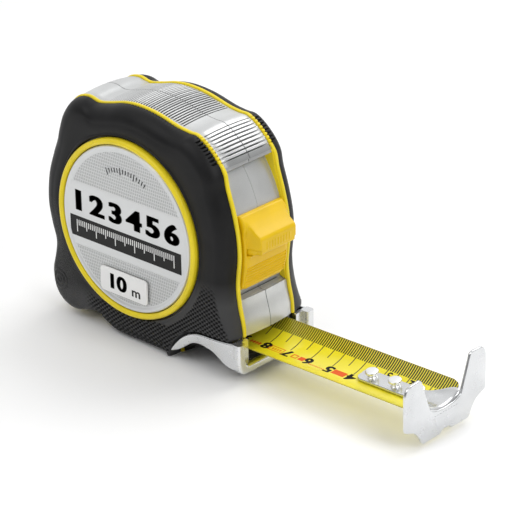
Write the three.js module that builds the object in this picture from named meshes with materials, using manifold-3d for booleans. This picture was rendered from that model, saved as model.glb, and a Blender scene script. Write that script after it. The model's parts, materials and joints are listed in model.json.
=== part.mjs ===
// Pocket tape measure with a sliding lock, drawn in millimetres, +Z up.
// +X is the way the blade comes out, +Y is away from the labelled side, and the
// origin lies on the sole below the spool axle. Pieces are drawn about the axle
// and the whole group is then raised by the axle's height.

import * as THREE from 'three';
import { mergeVertices } from 'three/addons/utils/BufferGeometryUtils.js';
import Module from 'manifold-3d';

const wasm = await Module();
wasm.setup();

// ---------------------------------------------------------------- clearances
const gap = 0.3; // between pieces that are fixed to each other
const axlePlay = 0.06; // radial, spool bore on the axle post
const slidePlay = 0.5; // each side, around sliding pieces

// ------------------------------------------------- blade, spool and their room
const bladeWidth = 25; // along its curved section
const bladeThickness = 0.25; // steel with its coating
const bladeRadius = 20.6; // of the curved section
const bladeRoll = THREE.MathUtils.degToRad(8); // far edge up
const bladeTilt = THREE.MathUtils.degToRad(0.75); // tip up
const bladeTip = 130.6; // from the axle, along X
const strapInside = 9.5; // length of straight strip behind the front of the case
const mouthLift = 1.19; // blade's lowest line above the inside of the belly
const coilRadius = 31;
const hubRadius = 14.6;
const axleRadius = 4;
const axleKey = 2.7; // half the side of the post's square ends
const flangeThickness = 1;
const spoolPlay = 1.3; // each side, spool flange to case wall

// ---------------------------------------------------------------------- case
const frontMargin = 17.5; // coil to the front of the case
const rearMargin = 15;
const crownMargin = 15.4;
const soleMargin = 16;
const wall = 2;
const bellyRise = 0.13; // belly behind the mouth above the sole, as a share of the axle's height
const trimWidth = 1.5;
const trimDepth = 2.2;
const gripThickness = 3.5; // rubber on the side faces
const gripRound = 5; // how far the side faces pull in
const dialMargin = 4; // coil radius to the dial ring's outside
const dialRingWidth = 2.3;
const dialStand = 1.9; // dial ring above the rubber
const screwRadius = 1.3;
const bossRadius = 2.8;

// ---------------------------------------------------------------- lock, mouth
const trackCentre = -3; // X of the centre that the lock swings about
const lockRise = 17; // degrees, button's top end above the axle level
const lockDrop = 15.4; // degrees, button's lower end below it
const lipReach = 5.6; // thumb lip beyond the button's face
const padRoom = 7; // blade's line to the underside of the carrier's end
const bracketReach = 4.1; // bracket front beyond the case
const bracketThickness = 2;
const guideDepth = 2.4; // from the blade's lowest line to the mouth's floor
const hookThickness = 1.2;
const rivetPitch = 10.5;
const rivetRadius = 1.5;
const rivetHeadRadius = 2.4;
const rivetHeadHeight = 2.4;
const rivetTail = 0.7; // below the blade, with its clearance
const tongueWidth = 9;
const clipWidth = 18;
const clipThickness = 1.2;
const clipGap = 4.8; // room for a belt

// ------------------------------------------------------- fineness of curves
const outlineSteps = 60;
const dialSides = 48;
const pinSides = 16;

// -------------------------------------------------------- sizes that follow
const frontReach = coilRadius + frontMargin;
const rearReach = coilRadius + rearMargin;
const crownHeight = coilRadius + crownMargin;
const axleHeight = coilRadius + soleMargin;
const sole = -axleHeight;
const spoolHalf = bladeWidth / 2 + flangeThickness + 0.2;
const cavityHalf = spoolHalf + spoolPlay;
const bandHalf = bladeWidth / 2 - gap;
const coreHalf = cavityHalf + wall;
const gripHalf = coreHalf + gap + gripThickness;
const bossFace = gripHalf - 1.4;
const dialRadius = coilRadius + dialMargin;
const mouthHalf = bladeWidth / 2 + slidePlay;
const trackRadius = frontReach - trackCentre - 0.6;
const mouthHeight = bellyRise * axleHeight + wall + 0.4 + mouthLift;
const mouthLine = sole + mouthHeight;
const bladeTail = frontReach - strapInside;
const carrierOuter = trackRadius - 1.7 - gap;
const carrierEnd = THREE.MathUtils.radToDeg(Math.asin((-mouthLine - padRoom) / carrierOuter));
const caseNose = frontReach * 1.041;
const bracketFront = caseNose + bracketReach;
const rivetWay = rivetHeadRadius + 1; // half the width kept free for the rivets

// -------------------------------------------------------------------- helpers
const material = {
  silver: new THREE.MeshStandardMaterial({ color: 0xb9bbba, roughness: 0.35, metalness: 0.8 }),
  yellow: new THREE.MeshStandardMaterial({ color: 0xf6c400, roughness: 0.35, metalness: 0 }),
  rubber: new THREE.MeshStandardMaterial({ color: 0x191919, roughness: 0.65, metalness: 0 }),
  black: new THREE.MeshStandardMaterial({ color: 0x121212, roughness: 0.45, metalness: 0 }),
  chrome: new THREE.MeshStandardMaterial({ color: 0xd5d5d5, roughness: 0.12, metalness: 1 }),
  steel: new THREE.MeshStandardMaterial({ color: 0x9a9a98, roughness: 0.3, metalness: 1 }),
  white: new THREE.MeshStandardMaterial({ color: 0xeeeeec, roughness: 0.4, metalness: 0 }),
};

// A three.js geometry as a solid that can be joined and cut.
function solid(geometry) {
  const bare = geometry.clone();
  bare.deleteAttribute('normal');
  bare.deleteAttribute('uv');
  const merged = mergeVertices(bare, 1e-5);
  const vertProperties = new Float32Array(merged.attributes.position.array);
  const triVerts = new Uint32Array(merged.index.array);
  return new wasm.Manifold(new wasm.Mesh({ numProp: 3, vertProperties, triVerts }));
}

function geometryOf(body) {
  const mesh = body.getMesh();
  const geometry = new THREE.BufferGeometry();
  geometry.setAttribute('position', new THREE.BufferAttribute(mesh.vertProperties, 3));
  geometry.setIndex(new THREE.BufferAttribute(mesh.triVerts, 1));
  geometry.computeVertexNormals();
  return geometry;
}

// The same geometry on the other side of the seam, with its faces still outwards.
function mirrored(geometry) {
  const copy = geometry.clone().scale(1, -1, 1);
  const index = copy.index.array;
  for (let i = 0; i < index.length; i += 3) {
    [index[i], index[i + 1]] = [index[i + 1], index[i]];
  }
  return copy;
}

function node(name, body, look) {
  const geometry = body instanceof THREE.BufferGeometry ? body : geometryOf(body);
  const mesh = new THREE.Mesh(geometry, look);
  mesh.name = name;
  return mesh;
}

// An outline in the XZ plane carried along Y, with its end edges rounded if asked.
function slab(points, yLow, yHigh, round = 0, roundDepth = 0) {
  const geometry = new THREE.ExtrudeGeometry(new THREE.Shape(points), {
    depth: yHigh - yLow - 2 * roundDepth,
    bevelEnabled: round > 0,
    bevelSize: round,
    bevelOffset: -round,
    bevelThickness: roundDepth,
    bevelSegments: 3,
    curveSegments: 6,
  });
  return solid(geometry.rotateX(Math.PI / 2).translate(0, yHigh - roundDepth, 0));
}

function block(xLow, xHigh, yLow, yHigh, zLow, zHigh) {
  const geometry = new THREE.BoxGeometry(xHigh - xLow, yHigh - yLow, zHigh - zLow);
  geometry.translate((xLow + xHigh) / 2, (yLow + yHigh) / 2, (zLow + zHigh) / 2);
  return solid(geometry);
}

// A round bar along Y.
function bar(radius, yLow, yHigh, x = 0, z = 0, sides = dialSides) {
  const geometry = new THREE.CylinderGeometry(radius, radius, yHigh - yLow, sides);
  return solid(geometry.translate(x, (yLow + yHigh) / 2, z));
}

// A profile of [radius, y] turned about the axle.
function turned(profile, sides = dialSides) {
  const points = profile.map(([radius, y]) => new THREE.Vector2(radius, y));
  return solid(new THREE.LatheGeometry(points, sides));
}

// The outline moved outwards by a distance, or inwards if it is negative. Points
// that would cross over in a tight corner are left out.
function grown(points, distance) {
  const count = points.length;
  const edges = points.map((point, i) => new THREE.Line3(
    new THREE.Vector3(point.x, point.y, 0),
    new THREE.Vector3(points[(i + 1) % count].x, points[(i + 1) % count].y, 0),
  ));
  const nearest = new THREE.Vector3();
  const clearance = (moved) => Math.min(...edges.map((edge) => {
    const spot = new THREE.Vector3(moved.x, moved.y, 0);
    return edge.closestPointToPoint(spot, true, nearest).distanceTo(spot);
  }));
  const moved = points.map((point, i) => {
    const before = points[(i + count - 1) % count];
    const after = points[(i + 1) % count];
    const along = new THREE.Vector2().subVectors(after, before).normalize();
    return new THREE.Vector2(point.x + along.y * distance, point.y - along.x * distance);
  });
  return moved.filter((point) => clearance(point) > Math.abs(distance) * 0.96);
}

// A stretch of a ring about a centre on the X axis, from one angle to another.
function sector(centre, inner, outer, fromDegrees, toDegrees, steps = 10) {
  const points = [];
  const place = (radius, degrees) => {
    const angle = THREE.MathUtils.degToRad(degrees);
    points.push(new THREE.Vector2(centre + radius * Math.cos(angle), radius * Math.sin(angle)));
  };
  for (let i = 0; i <= steps; i += 1) {
    place(outer, fromDegrees + ((toDegrees - fromDegrees) * i) / steps);
  }
  for (let i = steps; i >= 0; i -= 1) {
    place(inner, fromDegrees + ((toDegrees - fromDegrees) * i) / steps);
  }
  return points;
}

// -------------------------------------------------------------- case outline
// Each point is a share of the reach on its own side of the axle, anticlockwise
// as seen from the labelled side, from the front end of the flat sole.
// The band's belly rises behind the bracket; the rubber's would fill that corner,
// but the bracket's arm cuts it off.
const raisedBelly = [
  [0.4, -1], [0.47, -0.955], [0.56, -0.893], [0.7, bellyRise - 1], [0.86, bellyRise - 0.998],
  [0.98, -0.882], [1.032, -0.857],
];
const fullBelly = [[0.784, -1], [0.928, -0.979], [1.023, -0.883]];
const outlineShares = [
  [1.041, -0.745], [1.035, -0.564], [0.994, -0.394], [0.979, -0.223], [1, 0],
  [0.99, 0.183], [0.948, 0.377],
  [0.895, 0.55], [0.87, 0.668], [0.81, 0.765], [0.711, 0.86], [0.619, 0.912],
  [0.536, 0.916], [0.412, 0.933], [0.206, 0.983], [0.02, 1], [-0.13, 0.987],
  [-0.283, 0.948], [-0.424, 0.92], [-0.543, 0.94], [-0.663, 0.905], [-0.761, 0.797],
  [-0.817, 0.668], [-0.852, 0.55], [-0.909, 0.41], [-0.974, 0.216], [-1, -0.021],
  [-0.97, -0.213], [-0.926, -0.372], [-0.939, -0.5], [-0.974, -0.66], [-0.948, -0.819],
  [-0.859, -0.919], [-0.728, -0.955], [-0.587, -0.919], [-0.457, -0.9], [-0.326, -0.962],
  [-0.217, -1],
];

function caseOutline(belly) {
  const ends = [...belly, ...outlineShares].map(([u, v]) => new THREE.Vector2(
    u * (u > 0 ? frontReach : rearReach),
    v * (v > 0 ? crownHeight : axleHeight),
  ));
  return new THREE.SplineCurve(ends).getPoints(outlineSteps);
}

const outline = caseOutline(raisedBelly);
const gripOutline = caseOutline(fullBelly);

// -------------------------------------------------------------- case pieces
// Screws stand clear of the coil, the strip and the lock.
const screwPlaces = [
  [coilRadius - 1, coilRadius + 3],
  [-(coilRadius - 2.5), coilRadius + 3],
  [coilRadius + 2, -(coilRadius - 11)],
  [-(coilRadius + 5), -(coilRadius - 5)],
];

// One half of the case, drawn on the -Y side: a rim that shows as the band, a
// core under the rubber, the dial boss, the lock's track and half the mouth.
function caseHalf(isFarSide) {
  const rimCavity = grown(outline, -(wall + 0.4));
  const coreOutline = grown(outline, -(trimDepth + gap));
  const coreCavity = grown(outline, -(trimDepth + gap + wall - 0.4));
  const flangeInside = bandHalf - 1.8;
  const seam = gap / 2;
  const screwClear = screwRadius + gap;

  let half = slab(outline, -bandHalf, -seam);
  half = half.add(slab(coreOutline, -coreHalf, -bandHalf + 0.5));
  half = half.add(bar(dialRadius + 0.6, -bossFace, -coreHalf + 0.5, 0, 0, dialSides));
  half = half.subtract(slab(rimCavity, -flangeInside, 1));
  half = half.subtract(slab(coreCavity, -cavityHalf, 1));
  half = half.subtract(bar(dialRadius - 2.4, -bossFace + wall, 1, 0, 0, dialSides));

  const pocket = sector(trackCentre, trackRadius, trackRadius + 9, -19, 35);
  const track = sector(trackCentre, trackRadius - 1.7, trackRadius, -19.6, 35.6);
  const slot = sector(trackCentre, trackRadius - 4, trackRadius + 3, -13, 25);
  half = half.subtract(slab(pocket, -bandHalf - 0.01, 1));
  half = half.add(slab(track, -bandHalf, -seam));
  half = half.subtract(slab(slot, -3, 1));

  // A channel inside the rim for the lock's carrier.
  const channel = sector(trackCentre, trackRadius - 5, trackRadius - 1.7, -carrierEnd - 5, 28);
  half = half.subtract(slab(channel, -6 - slidePlay, 1));

  const mouthLow = mouthLine - guideDepth;
  const mouthHigh = mouthLine + 8.2;
  half = half.subtract(block(frontReach - 6, caseNose + 2, -mouthHalf, 1, mouthLow, mouthHigh));
  // A groove in the floor behind the mouth lets the rivets' tails through.
  const grooveLow = mouthLine - bladeThickness - rivetTail - 2 * gap;
  half = half.subtract(block(coilRadius - 6, frontReach - 5, -rivetWay, 1, grooveLow, mouthLine));

  for (const [x, z] of screwPlaces) {
    half = half.add(bar(bossRadius, -cavityHalf - 0.5, -seam, x, z, pinSides));
    const depth = isFarSide ? -coreHalf - 1 : -cavityHalf + 3;
    half = half.subtract(bar(screwClear, depth, 1, x, z, pinSides));
    if (isFarSide) {
      half = half.subtract(bar(2 * screwRadius + gap, -coreHalf - 1, -coreHalf + 1.6, x, z, pinSides));
    }
  }
  // Sockets for the axle's square ends.
  const socket = axleKey + gap;
  const axleEnd = bossFace - wall + 1 + gap;
  half = half.add(bar(axleRadius + 2.4, -bossFace + wall - 0.5, -spoolHalf - 0.5, 0, 0, 32));
  half = half.subtract(block(-socket, socket, -axleEnd, 1, -socket, socket));
  if (isFarSide) {
    half = half.subtract(bar(screwClear, -bossFace - 1, -bossFace + wall + 1, 0, clipScrewHeight, pinSides));
  }
  // A tongue on the near half keys the two soles together across the seam.
  const tongue = isFarSide ? gap : 0;
  const cut = block(-6 - tongue, 6 + tongue, -3 - tongue, 3, sole - tongue, sole + wall + tongue);
  return isFarSide ? half.subtract(cut) : half.add(block(-6, 6, -3, 3, sole, sole + wall));
}

// The bright bead between the band and the rubber, with its window cheeks.
function trimRing() {
  const low = -bandHalf - gap - trimWidth;
  const high = -bandHalf - gap;
  const ring = slab(outline, low, high);
  return ring.subtract(slab(grown(outline, -trimDepth), low - 1, high + 1));
}

// The rubber cover of one side: a rounded cap with its core and dial cut out.
// Only the far side has holes for the case screws.
function gripCover(isFarSide) {
  const edge = -bandHalf - 2 * gap - trimWidth;
  const roundDepth = gripHalf - bandHalf - trimWidth - 0.8;
  let cover = slab(gripOutline, -gripHalf, gripHalf, gripRound, roundDepth);
  cover = cover.subtract(block(-200, 200, edge, 200, -200, 200));
  cover = cover.subtract(slab(grown(gripOutline, gap - trimDepth), -coreHalf - gap, 0));
  cover = cover.subtract(bar(dialRadius + 0.6 + gap, -gripHalf - 5, 0, 0, 0, dialSides));
  cover = cover.subtract(slab(underArm(), -gripHalf - 5, 0));
  for (const [x, z] of isFarSide ? screwPlaces : []) {
    cover = cover.subtract(bar(2 * screwRadius + gap, -gripHalf - 5, 0, x, z, pinSides));
  }
  return cover;
}

function dialRing() {
  const low = -gripHalf - dialStand;
  const high = -bossFace - gap;
  const inside = dialRadius - dialRingWidth;
  return turned([
    [inside, high], [inside, low + 0.7], [inside + 0.6, low], [dialRadius - 0.6, low],
    [dialRadius, low + 0.7], [dialRadius, high], [inside, high],
  ]);
}

const dialFace = gripHalf + 1.3; // outer face of the dial disc
const clipScrewHeight = dialRadius - 10;

function dialDisc(isFarSide) {
  const radius = dialRadius - dialRingWidth - gap;
  let disc = turned([[0, -bossFace - gap], [0, -dialFace], [radius - 1, -dialFace],
    [radius, -dialFace + 0.6], [radius, -bossFace - gap], [0, -bossFace - gap]]);
  if (isFarSide) {
    disc = disc.subtract(bar(screwRadius + gap, -dialFace - 1, 0, 0, clipScrewHeight, pinSides));
  }
  return disc;
}

// The raised plate that carries the blade's length, below the dial's middle.
function lengthPlate() {
  const shape = new THREE.Shape();
  const [halfLength, halfHeight, corner] = [12, 4.9, 1.5];
  shape.moveTo(-halfLength + corner, -halfHeight);
  shape.lineTo(halfLength - corner, -halfHeight);
  shape.absarc(halfLength - corner, -halfHeight + corner, corner, -Math.PI / 2, 0);
  shape.absarc(halfLength - corner, halfHeight - corner, corner, 0, Math.PI / 2);
  shape.absarc(-halfLength + corner, halfHeight - corner, corner, Math.PI / 2, Math.PI);
  shape.absarc(-halfLength + corner, -halfHeight + corner, corner, Math.PI, Math.PI * 1.5);
  const outlinePoints = shape.getPoints(4).slice(0, -1);
  const placed = outlinePoints.map((p) => new THREE.Vector2(p.x - 1.3, p.y - dialRadius * 0.645));
  return slab(placed, -dialFace - gap - 0.6, -dialFace - gap);
}

// The axle is a round post with square ends that keep it from turning.
function axlePost() {
  const end = bossFace - wall + 1;
  return bar(axleRadius, -spoolHalf - 0.3, spoolHalf + 0.3).add(
    block(-axleKey, axleKey, -end, end, -axleKey, axleKey));
}

function caseScrew([x, z]) {
  const headLow = coreHalf - 1.6 + gap;
  const head = bar(2 * screwRadius, headLow, headLow + 1.5, x, z, pinSides);
  const drive = block(x - 1.6, x + 1.6, headLow + 0.8, headLow + 2, z - 0.35, z + 0.35);
  return head.subtract(drive).add(bar(screwRadius, -cavityHalf + 3 + gap, headLow + 0.5, x, z, pinSides));
}

// -------------------------------------------------------------------- mouth
const armInside = -gripHalf + bracketThickness + 0.1;

// The chrome arm at each side sweeps back from the mouth and down to the sole.
// Its edges are given as [distance behind the mouth frame, height above the sole].
const armTop = [[31.1, 4.1], [29.4, 6.5], [27.2, 9], [25, 11], [22.4, 12.8], [19.5, 14.1],
  [16.1, 14.9], [10.1, 15.2], [6.1, 15.5], [0, 16.2]];
const armBottom = [[0, 4], [3.1, 4.6], [4.8, 6.3], [6.4, 7.9], [8.1, 9.1], [10.1, 10],
  [12.5, 10.5], [15, 10.9], [17.5, 10.8], [20, 10.1], [22.6, 8.4], [25.1, 6.5],
  [27.3, 5.1], [29.7, 4]];

function armEdge(edge) {
  const nose = caseNose + gap + 0.3;
  return edge.map(([behind, height]) => new THREE.Vector2(nose - behind, sole + height));
}

function bracketArm() {
  return [...armEdge(armTop), ...armEdge(armBottom)].reverse();
}

// Everything below the arm's upper edge, which the rubber leaves free.
function underArm() {
  const edge = armEdge(armTop).map((point) => new THREE.Vector2(point.x, point.y + gap));
  const front = edge.at(-1);
  const tip = edge[0];
  return [new THREE.Vector2(tip.x - 1.5, sole - 5), new THREE.Vector2(front.x + 5, sole - 5),
    new THREE.Vector2(front.x + 5, front.y), ...edge.reverse(), new THREE.Vector2(tip.x - 1.2, tip.y - 3)];
}

// A U-shaped frame around the mouth, joined to both arms.
function mouthBracket() {
  const half = -armInside + bracketThickness;
  const back = caseNose + gap;
  const legInside = half - 3.9;
  const barTop = sole + 7.2;
  const frame = new THREE.Shape();
  frame.moveTo(-half + 1.5, sole + 3.7);
  frame.lineTo(half - 1.5, sole + 3.7);
  frame.lineTo(half, sole + 5);
  frame.lineTo(half, sole + 15.4);
  frame.lineTo(half - 0.8, sole + 16.3);
  frame.lineTo(legInside, sole + 16.3);
  frame.lineTo(legInside, barTop + 1.2);
  frame.lineTo(legInside - 1.2, barTop);
  frame.lineTo(-legInside + 1.2, barTop);
  frame.lineTo(-legInside, barTop + 1.2);
  frame.lineTo(-legInside, sole + 16.3);
  frame.lineTo(-half + 0.8, sole + 16.3);
  frame.lineTo(-half, sole + 15.4);
  frame.lineTo(-half, sole + 5);
  const front = new THREE.ExtrudeGeometry(frame, {
    depth: bracketFront - back - 1,
    bevelEnabled: true,
    bevelSize: 0.9,
    bevelOffset: -0.9,
    bevelThickness: 0.5,
    bevelSegments: 1,
  });
  // The frame is drawn in Y and Z and carried along X.
  const turn = new THREE.Matrix4().makeBasis(
    new THREE.Vector3(0, 1, 0), new THREE.Vector3(0, 0, 1), new THREE.Vector3(1, 0, 0));
  front.applyMatrix4(turn).translate(back + 0.5, 0, 0);
  const arm = geometryOf(slab(bracketArm(), -half, armInside, 0.5, 0.4));
  const nearArm = solid(arm);
  const farArm = solid(mirrored(arm));
  const join = block(caseNose - 0.4, back + 1.5, -half + 0.3, armInside - 0.2, sole + 5, sole + 15);
  const farJoin = block(caseNose - 0.4, back + 1.5, -armInside + 0.2, half - 0.3, sole + 5, sole + 15);
  return solid(front).add(nearArm).add(farArm).add(join).add(farJoin);
}

// A soft block below the strip, which slides over it; the rivets' ends pass along
// its middle.
function mouthGuide() {
  const top = mouthLine - bladeThickness - 2 * gap;
  const low = mouthLine - guideDepth + gap;
  const [back, front] = [frontReach - 5, caseNose - 0.6];
  const channel = block(back - 1, front + 1, -rivetWay, rivetWay, low + 0.6, top + 1);
  return block(back, front, -bandHalf + 0.8, bandHalf - 0.8, low, top).subtract(channel);
}

// ----------------------------------------------------------------- belt clip
function beltClip() {
  const foot = dialFace + gap;
  const out = dialFace + clipGap;
  const top = clipScrewHeight + 5;
  const profile = [
    [foot, top], [foot, clipScrewHeight - 5], [out, clipScrewHeight - 10],
    [out, -dialRadius + 14], [out - 2.2, -dialRadius + 9], [out, -dialRadius + 4],
    [out + clipThickness, -dialRadius + 4], [out - 2.2 + clipThickness, -dialRadius + 9],
    [out + clipThickness, -dialRadius + 14], [out + clipThickness, clipScrewHeight - 10],
    [foot + clipThickness, clipScrewHeight - 5 + 0.4], [foot + clipThickness, top],
  ];
  const strip = new THREE.Shape(profile.map(([y, z]) => new THREE.Vector2(y, z)));
  const geometry = new THREE.ExtrudeGeometry(strip, { depth: clipWidth, bevelEnabled: false });
  const turn = new THREE.Matrix4().makeBasis(
    new THREE.Vector3(0, 1, 0), new THREE.Vector3(0, 0, 1), new THREE.Vector3(1, 0, 0));
  geometry.applyMatrix4(turn).translate(-clipWidth / 2, 0, 0);
  return solid(geometry).subtract(bar(screwRadius + gap, foot - 1, foot + 3, 0, clipScrewHeight, pinSides));
}

function clipScrew() {
  const under = dialFace + 2 * gap + clipThickness;
  const head = bar(3, under, under + 1.6, 0, clipScrewHeight, pinSides);
  const shank = bar(screwRadius, bossFace - wall + 0.4, under + 0.5, 0, clipScrewHeight, pinSides);
  const drive = block(-2, 2, under + 0.9, under + 2, clipScrewHeight - 0.4, clipScrewHeight + 0.4);
  return head.subtract(drive).add(shank);
}

// --------------------------------------------------------------------- spool
const bore = axleRadius + axlePlay;

function spoolDrum() {
  const coilHalf = bladeWidth / 2 + 0.2;
  return turned([
    [bore, -spoolHalf], [coilRadius - 2, -spoolHalf], [coilRadius - 2, -coilHalf],
    [hubRadius, -coilHalf], [hubRadius, coilHalf - 1], [hubRadius - 1.6, coilHalf - 1],
    [hubRadius - 1.6, -coilHalf + 0.8], [bore + 1.8, -coilHalf + 0.8],
    [bore + 1.8, coilHalf - 1], [bore, coilHalf - 1], [bore, -spoolHalf],
  ]);
}

function drumCap() {
  const low = bladeWidth / 2 + 0.2;
  return turned([[bore, low], [coilRadius - 2, low], [coilRadius - 2, spoolHalf],
    [bore, spoolHalf], [bore, low]]);
}

// The wound blade, a ring that fills the room between the spool's flanges.
function bladeCoil() {
  const half = bladeWidth / 2 - 0.1;
  return turned([[hubRadius + gap, -half], [coilRadius, -half], [coilRadius, half],
    [hubRadius + gap, half], [hubRadius + gap, -half]]);
}

// A flat spiral strip wound outwards from the hub's sleeve.
function powerSpring() {
  const turns = 4;
  const start = bore + 1.8 + gap;
  const rise = (hubRadius - 1.6 - gap - start - 0.5) / turns;
  const thickness = 0.5;
  const steps = turns * 18;
  const outer = [];
  const inner = [];
  for (let i = 0; i <= steps; i += 1) {
    const angle = (2 * Math.PI * turns * i) / steps;
    const radius = start + (rise * turns * i) / steps;
    inner.push(new THREE.Vector2(radius * Math.cos(angle), radius * Math.sin(angle)));
    const out = radius + thickness;
    outer.push(new THREE.Vector2(out * Math.cos(angle), out * Math.sin(angle)));
  }
  const half = bladeWidth / 2 - 2;
  return slab([...outer, ...inner.reverse()], -half + 0.4, half - 0.4);
}

// --------------------------------------------------------------------- blade
// Drawn from the tip backwards: X is 0 at the tip and the strip's lowest line is
// at Z 0. The section is an arc, hollow side up, rolled about its lowest line.
function arcStrip(xLow, xHigh, radius, thickness, width, steps = 12) {
  const half = width / 2 / bladeRadius;
  const points = [];
  for (let i = 0; i <= steps; i += 1) {
    const angle = -half + (2 * half * i) / steps;
    points.push([(radius + thickness) * Math.sin(angle), (radius + thickness) * -Math.cos(angle)]);
  }
  for (let i = steps; i >= 0; i -= 1) {
    const angle = -half + (2 * half * i) / steps;
    points.push([radius * Math.sin(angle), radius * -Math.cos(angle)]);
  }
  const shape = new THREE.Shape(points.map(([y, z]) => new THREE.Vector2(y, z + bladeRadius)));
  const geometry = new THREE.ExtrudeGeometry(shape, { depth: xHigh - xLow, bevelEnabled: false });
  const turn = new THREE.Matrix4().makeBasis(
    new THREE.Vector3(0, 1, 0), new THREE.Vector3(0, 0, 1), new THREE.Vector3(1, 0, 0));
  return geometry.applyMatrix4(turn).translate(xLow, 0, 0);
}

// A round bar that stands on the blade's middle line, across its section.
function stud(radius, low, high, x, stretch = 0) {
  const geometry = new THREE.CylinderGeometry(radius, radius, high - low, pinSides);
  geometry.rotateX(Math.PI / 2).translate(x, 0, (low + high) / 2);
  let body = solid(geometry);
  if (stretch > 0) {
    const shifted = geometry.clone().translate(stretch, 0, 0);
    const back = geometry.clone().translate(-stretch, 0, 0);
    body = solid(shifted).add(solid(back)).add(
      block(x - stretch, x + stretch, -radius, radius, low, high));
  }
  return solid(geometryOf(body).rotateX(bladeRoll));
}

const rivetPlaces = [1, 2, 3].map((i) => 0.6 - i * rivetPitch);
const tongueLow = gap; // above the blade's inner face
const floatTravel = 0.5; // each way

function bladeStrip() {
  const length = bladeTip - bladeTail;
  const strip = arcStrip(-length, 0, bladeRadius, bladeThickness, bladeWidth);
  let body = solid(strip.rotateX(bladeRoll));
  for (const x of rivetPlaces) {
    body = body.subtract(stud(rivetRadius + gap, -2, 3, x));
  }
  return body;
}

function hookRivet(x) {
  const headLow = tongueLow + hookThickness + gap;
  const tailHigh = -bladeThickness - gap;
  const tailLow = -bladeThickness - rivetTail;
  return stud(rivetHeadRadius, headLow, headLow + rivetHeadHeight, x)
    .add(stud(rivetRadius, tailLow + 0.1, headLow + 0.5, x))
    .add(stud(rivetHeadRadius * 0.9, tailLow, tailHigh, x));
}

// The end hook: an upright plate with prongs above and a claw below, and a
// tongue that lies in the blade's hollow side, with slots for the rivets.
function endHook() {
  const plateLow = floatTravel + gap;
  const slotFloor = tongueLow + hookThickness;
  const half = [
    [2.2, -9.2], [3, -10.4], [12.8, -10.4], [14.4, -7.6], [16, -5.4], [17.6, -4.2],
    [22, -2.6], [22.5, -1.6], [22.5, 11.4], [21.6, 13.6], [20, 14.6], [14.6, 14.9],
    [13.5, 14.2], [12.4, 11], [9.6, 3.4], [8.4, 1.6], [5, 0.5],
  ];
  const right = half.map(([y, z]) => new THREE.Vector2(y, z + slotFloor));
  const left = half.map(([y, z]) => new THREE.Vector2(-y, z + slotFloor)).reverse();
  const plateShape = new THREE.Shape([...right, new THREE.Vector2(0, slotFloor), ...left]);
  const plate = new THREE.ExtrudeGeometry(plateShape, { depth: hookThickness, bevelEnabled: false });
  const turn = new THREE.Matrix4().makeBasis(
    new THREE.Vector3(0, 1, 0), new THREE.Vector3(0, 0, 1), new THREE.Vector3(1, 0, 0));
  plate.applyMatrix4(turn).translate(plateLow, 0, 0);

  const tongueLength = 3.45 * rivetPitch;
  const radius = bladeRadius - tongueLow - hookThickness;
  const tongue = arcStrip(-tongueLength, plateLow + 0.4, radius, hookThickness, tongueWidth);
  const root = arcStrip(-5, plateLow + 0.4, radius, hookThickness, 16.6);
  let body = solid(tongue.rotateX(bladeRoll)).add(solid(root.rotateX(bladeRoll))).add(solid(plate));
  for (const x of rivetPlaces) {
    body = body.subtract(stud(rivetRadius + gap, -1, 4, x, floatTravel + gap));
  }
  return body;
}

// ---------------------------------------------------------------------- lock
// The button rides on the track outside the case; the carrier slides under it.
function lockButton() {
  const inner = trackRadius + gap;
  const face = trackRadius + 2.2;
  const at = (radius, degrees) => {
    const angle = THREE.MathUtils.degToRad(degrees);
    return new THREE.Vector2(trackCentre + radius * Math.cos(angle), radius * Math.sin(angle));
  };
  const points = [];
  for (let i = 0; i <= 8; i += 1) points.push(at(inner, -lockDrop + ((lockRise + lockDrop) * i) / 8));
  points.reverse();
  points.push(at(face - 1.2, -lockDrop), at(face - 0.2, -lockDrop + 1), at(face, -8), at(face, -3));
  points.push(at(face + 1.2, -0.8), at(face + lipReach, 2.4), at(face + lipReach + 0.6, 5.5));
  points.push(at(face + lipReach - 0.4, 8), at(face + 2.2, 9), at(face + 0.4, 11));
  points.push(at(face - 0.2, 14), at(face - 1.2, lockRise));
  return slab(points, -bandHalf + slidePlay + 0.2, bandHalf - slidePlay - 0.2);
}

function lockCarrier() {
  const plate = slab(sector(trackCentre, carrierOuter - 2.4, carrierOuter, -carrierEnd, 12, 12), -6, 6);
  const stem = slab(sector(trackCentre, carrierOuter - 1, trackRadius - 0.1, -10, 10, 4), -2.4, 2.4);
  return plate.add(stem);
}

// The soft pad that presses the strip's sides while the lock is down. It bridges
// the hook's tongue and rivets, and leans with the strip.
function lockPad() {
  const angle = THREE.MathUtils.degToRad(carrierEnd);
  const middle = trackCentre + (carrierOuter - 1.2) * Math.cos(angle);
  const legInside = tongueWidth / 2 + slidePlay;
  const half = legInside + 2.8;
  const lift = half * Math.sin(bladeRoll);
  const top = padRoom - gap - lift;
  const foot = (half * half) / (2 * bladeRadius) + gap;
  const headTop = tongueLow + hookThickness + gap + rivetHeadHeight;
  const pad = block(middle - 3.4, middle + 3.4, -half, half, foot, top)
    .subtract(block(middle - 4, middle + 4, -legInside, legInside, foot - 1, headTop + gap));
  const line = mouthLine - (caseNose - middle) * Math.tan(bladeTilt);
  return solid(geometryOf(pad).rotateX(bladeRoll).translate(0, 0, line));
}

// A leaf that presses the carrier against the track. Its foot sits under the
// track's upper end, past the carrier's travel.
function lockSpring() {
  const outer = trackRadius - 1.7 - gap - 2.4 - gap;
  const leaf = sector(trackCentre, outer - 0.4, outer, -4, 33, 10);
  const foot = sector(trackCentre, outer - 0.2, trackRadius - 1.7 - gap, 28, 33, 4);
  return slab(leaf, -2, 2).add(slab(foot, -2, 2));
}

// ------------------------------------------------------------------ assembly
const tape = new THREE.Group();
tape.position.z = axleHeight;

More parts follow.
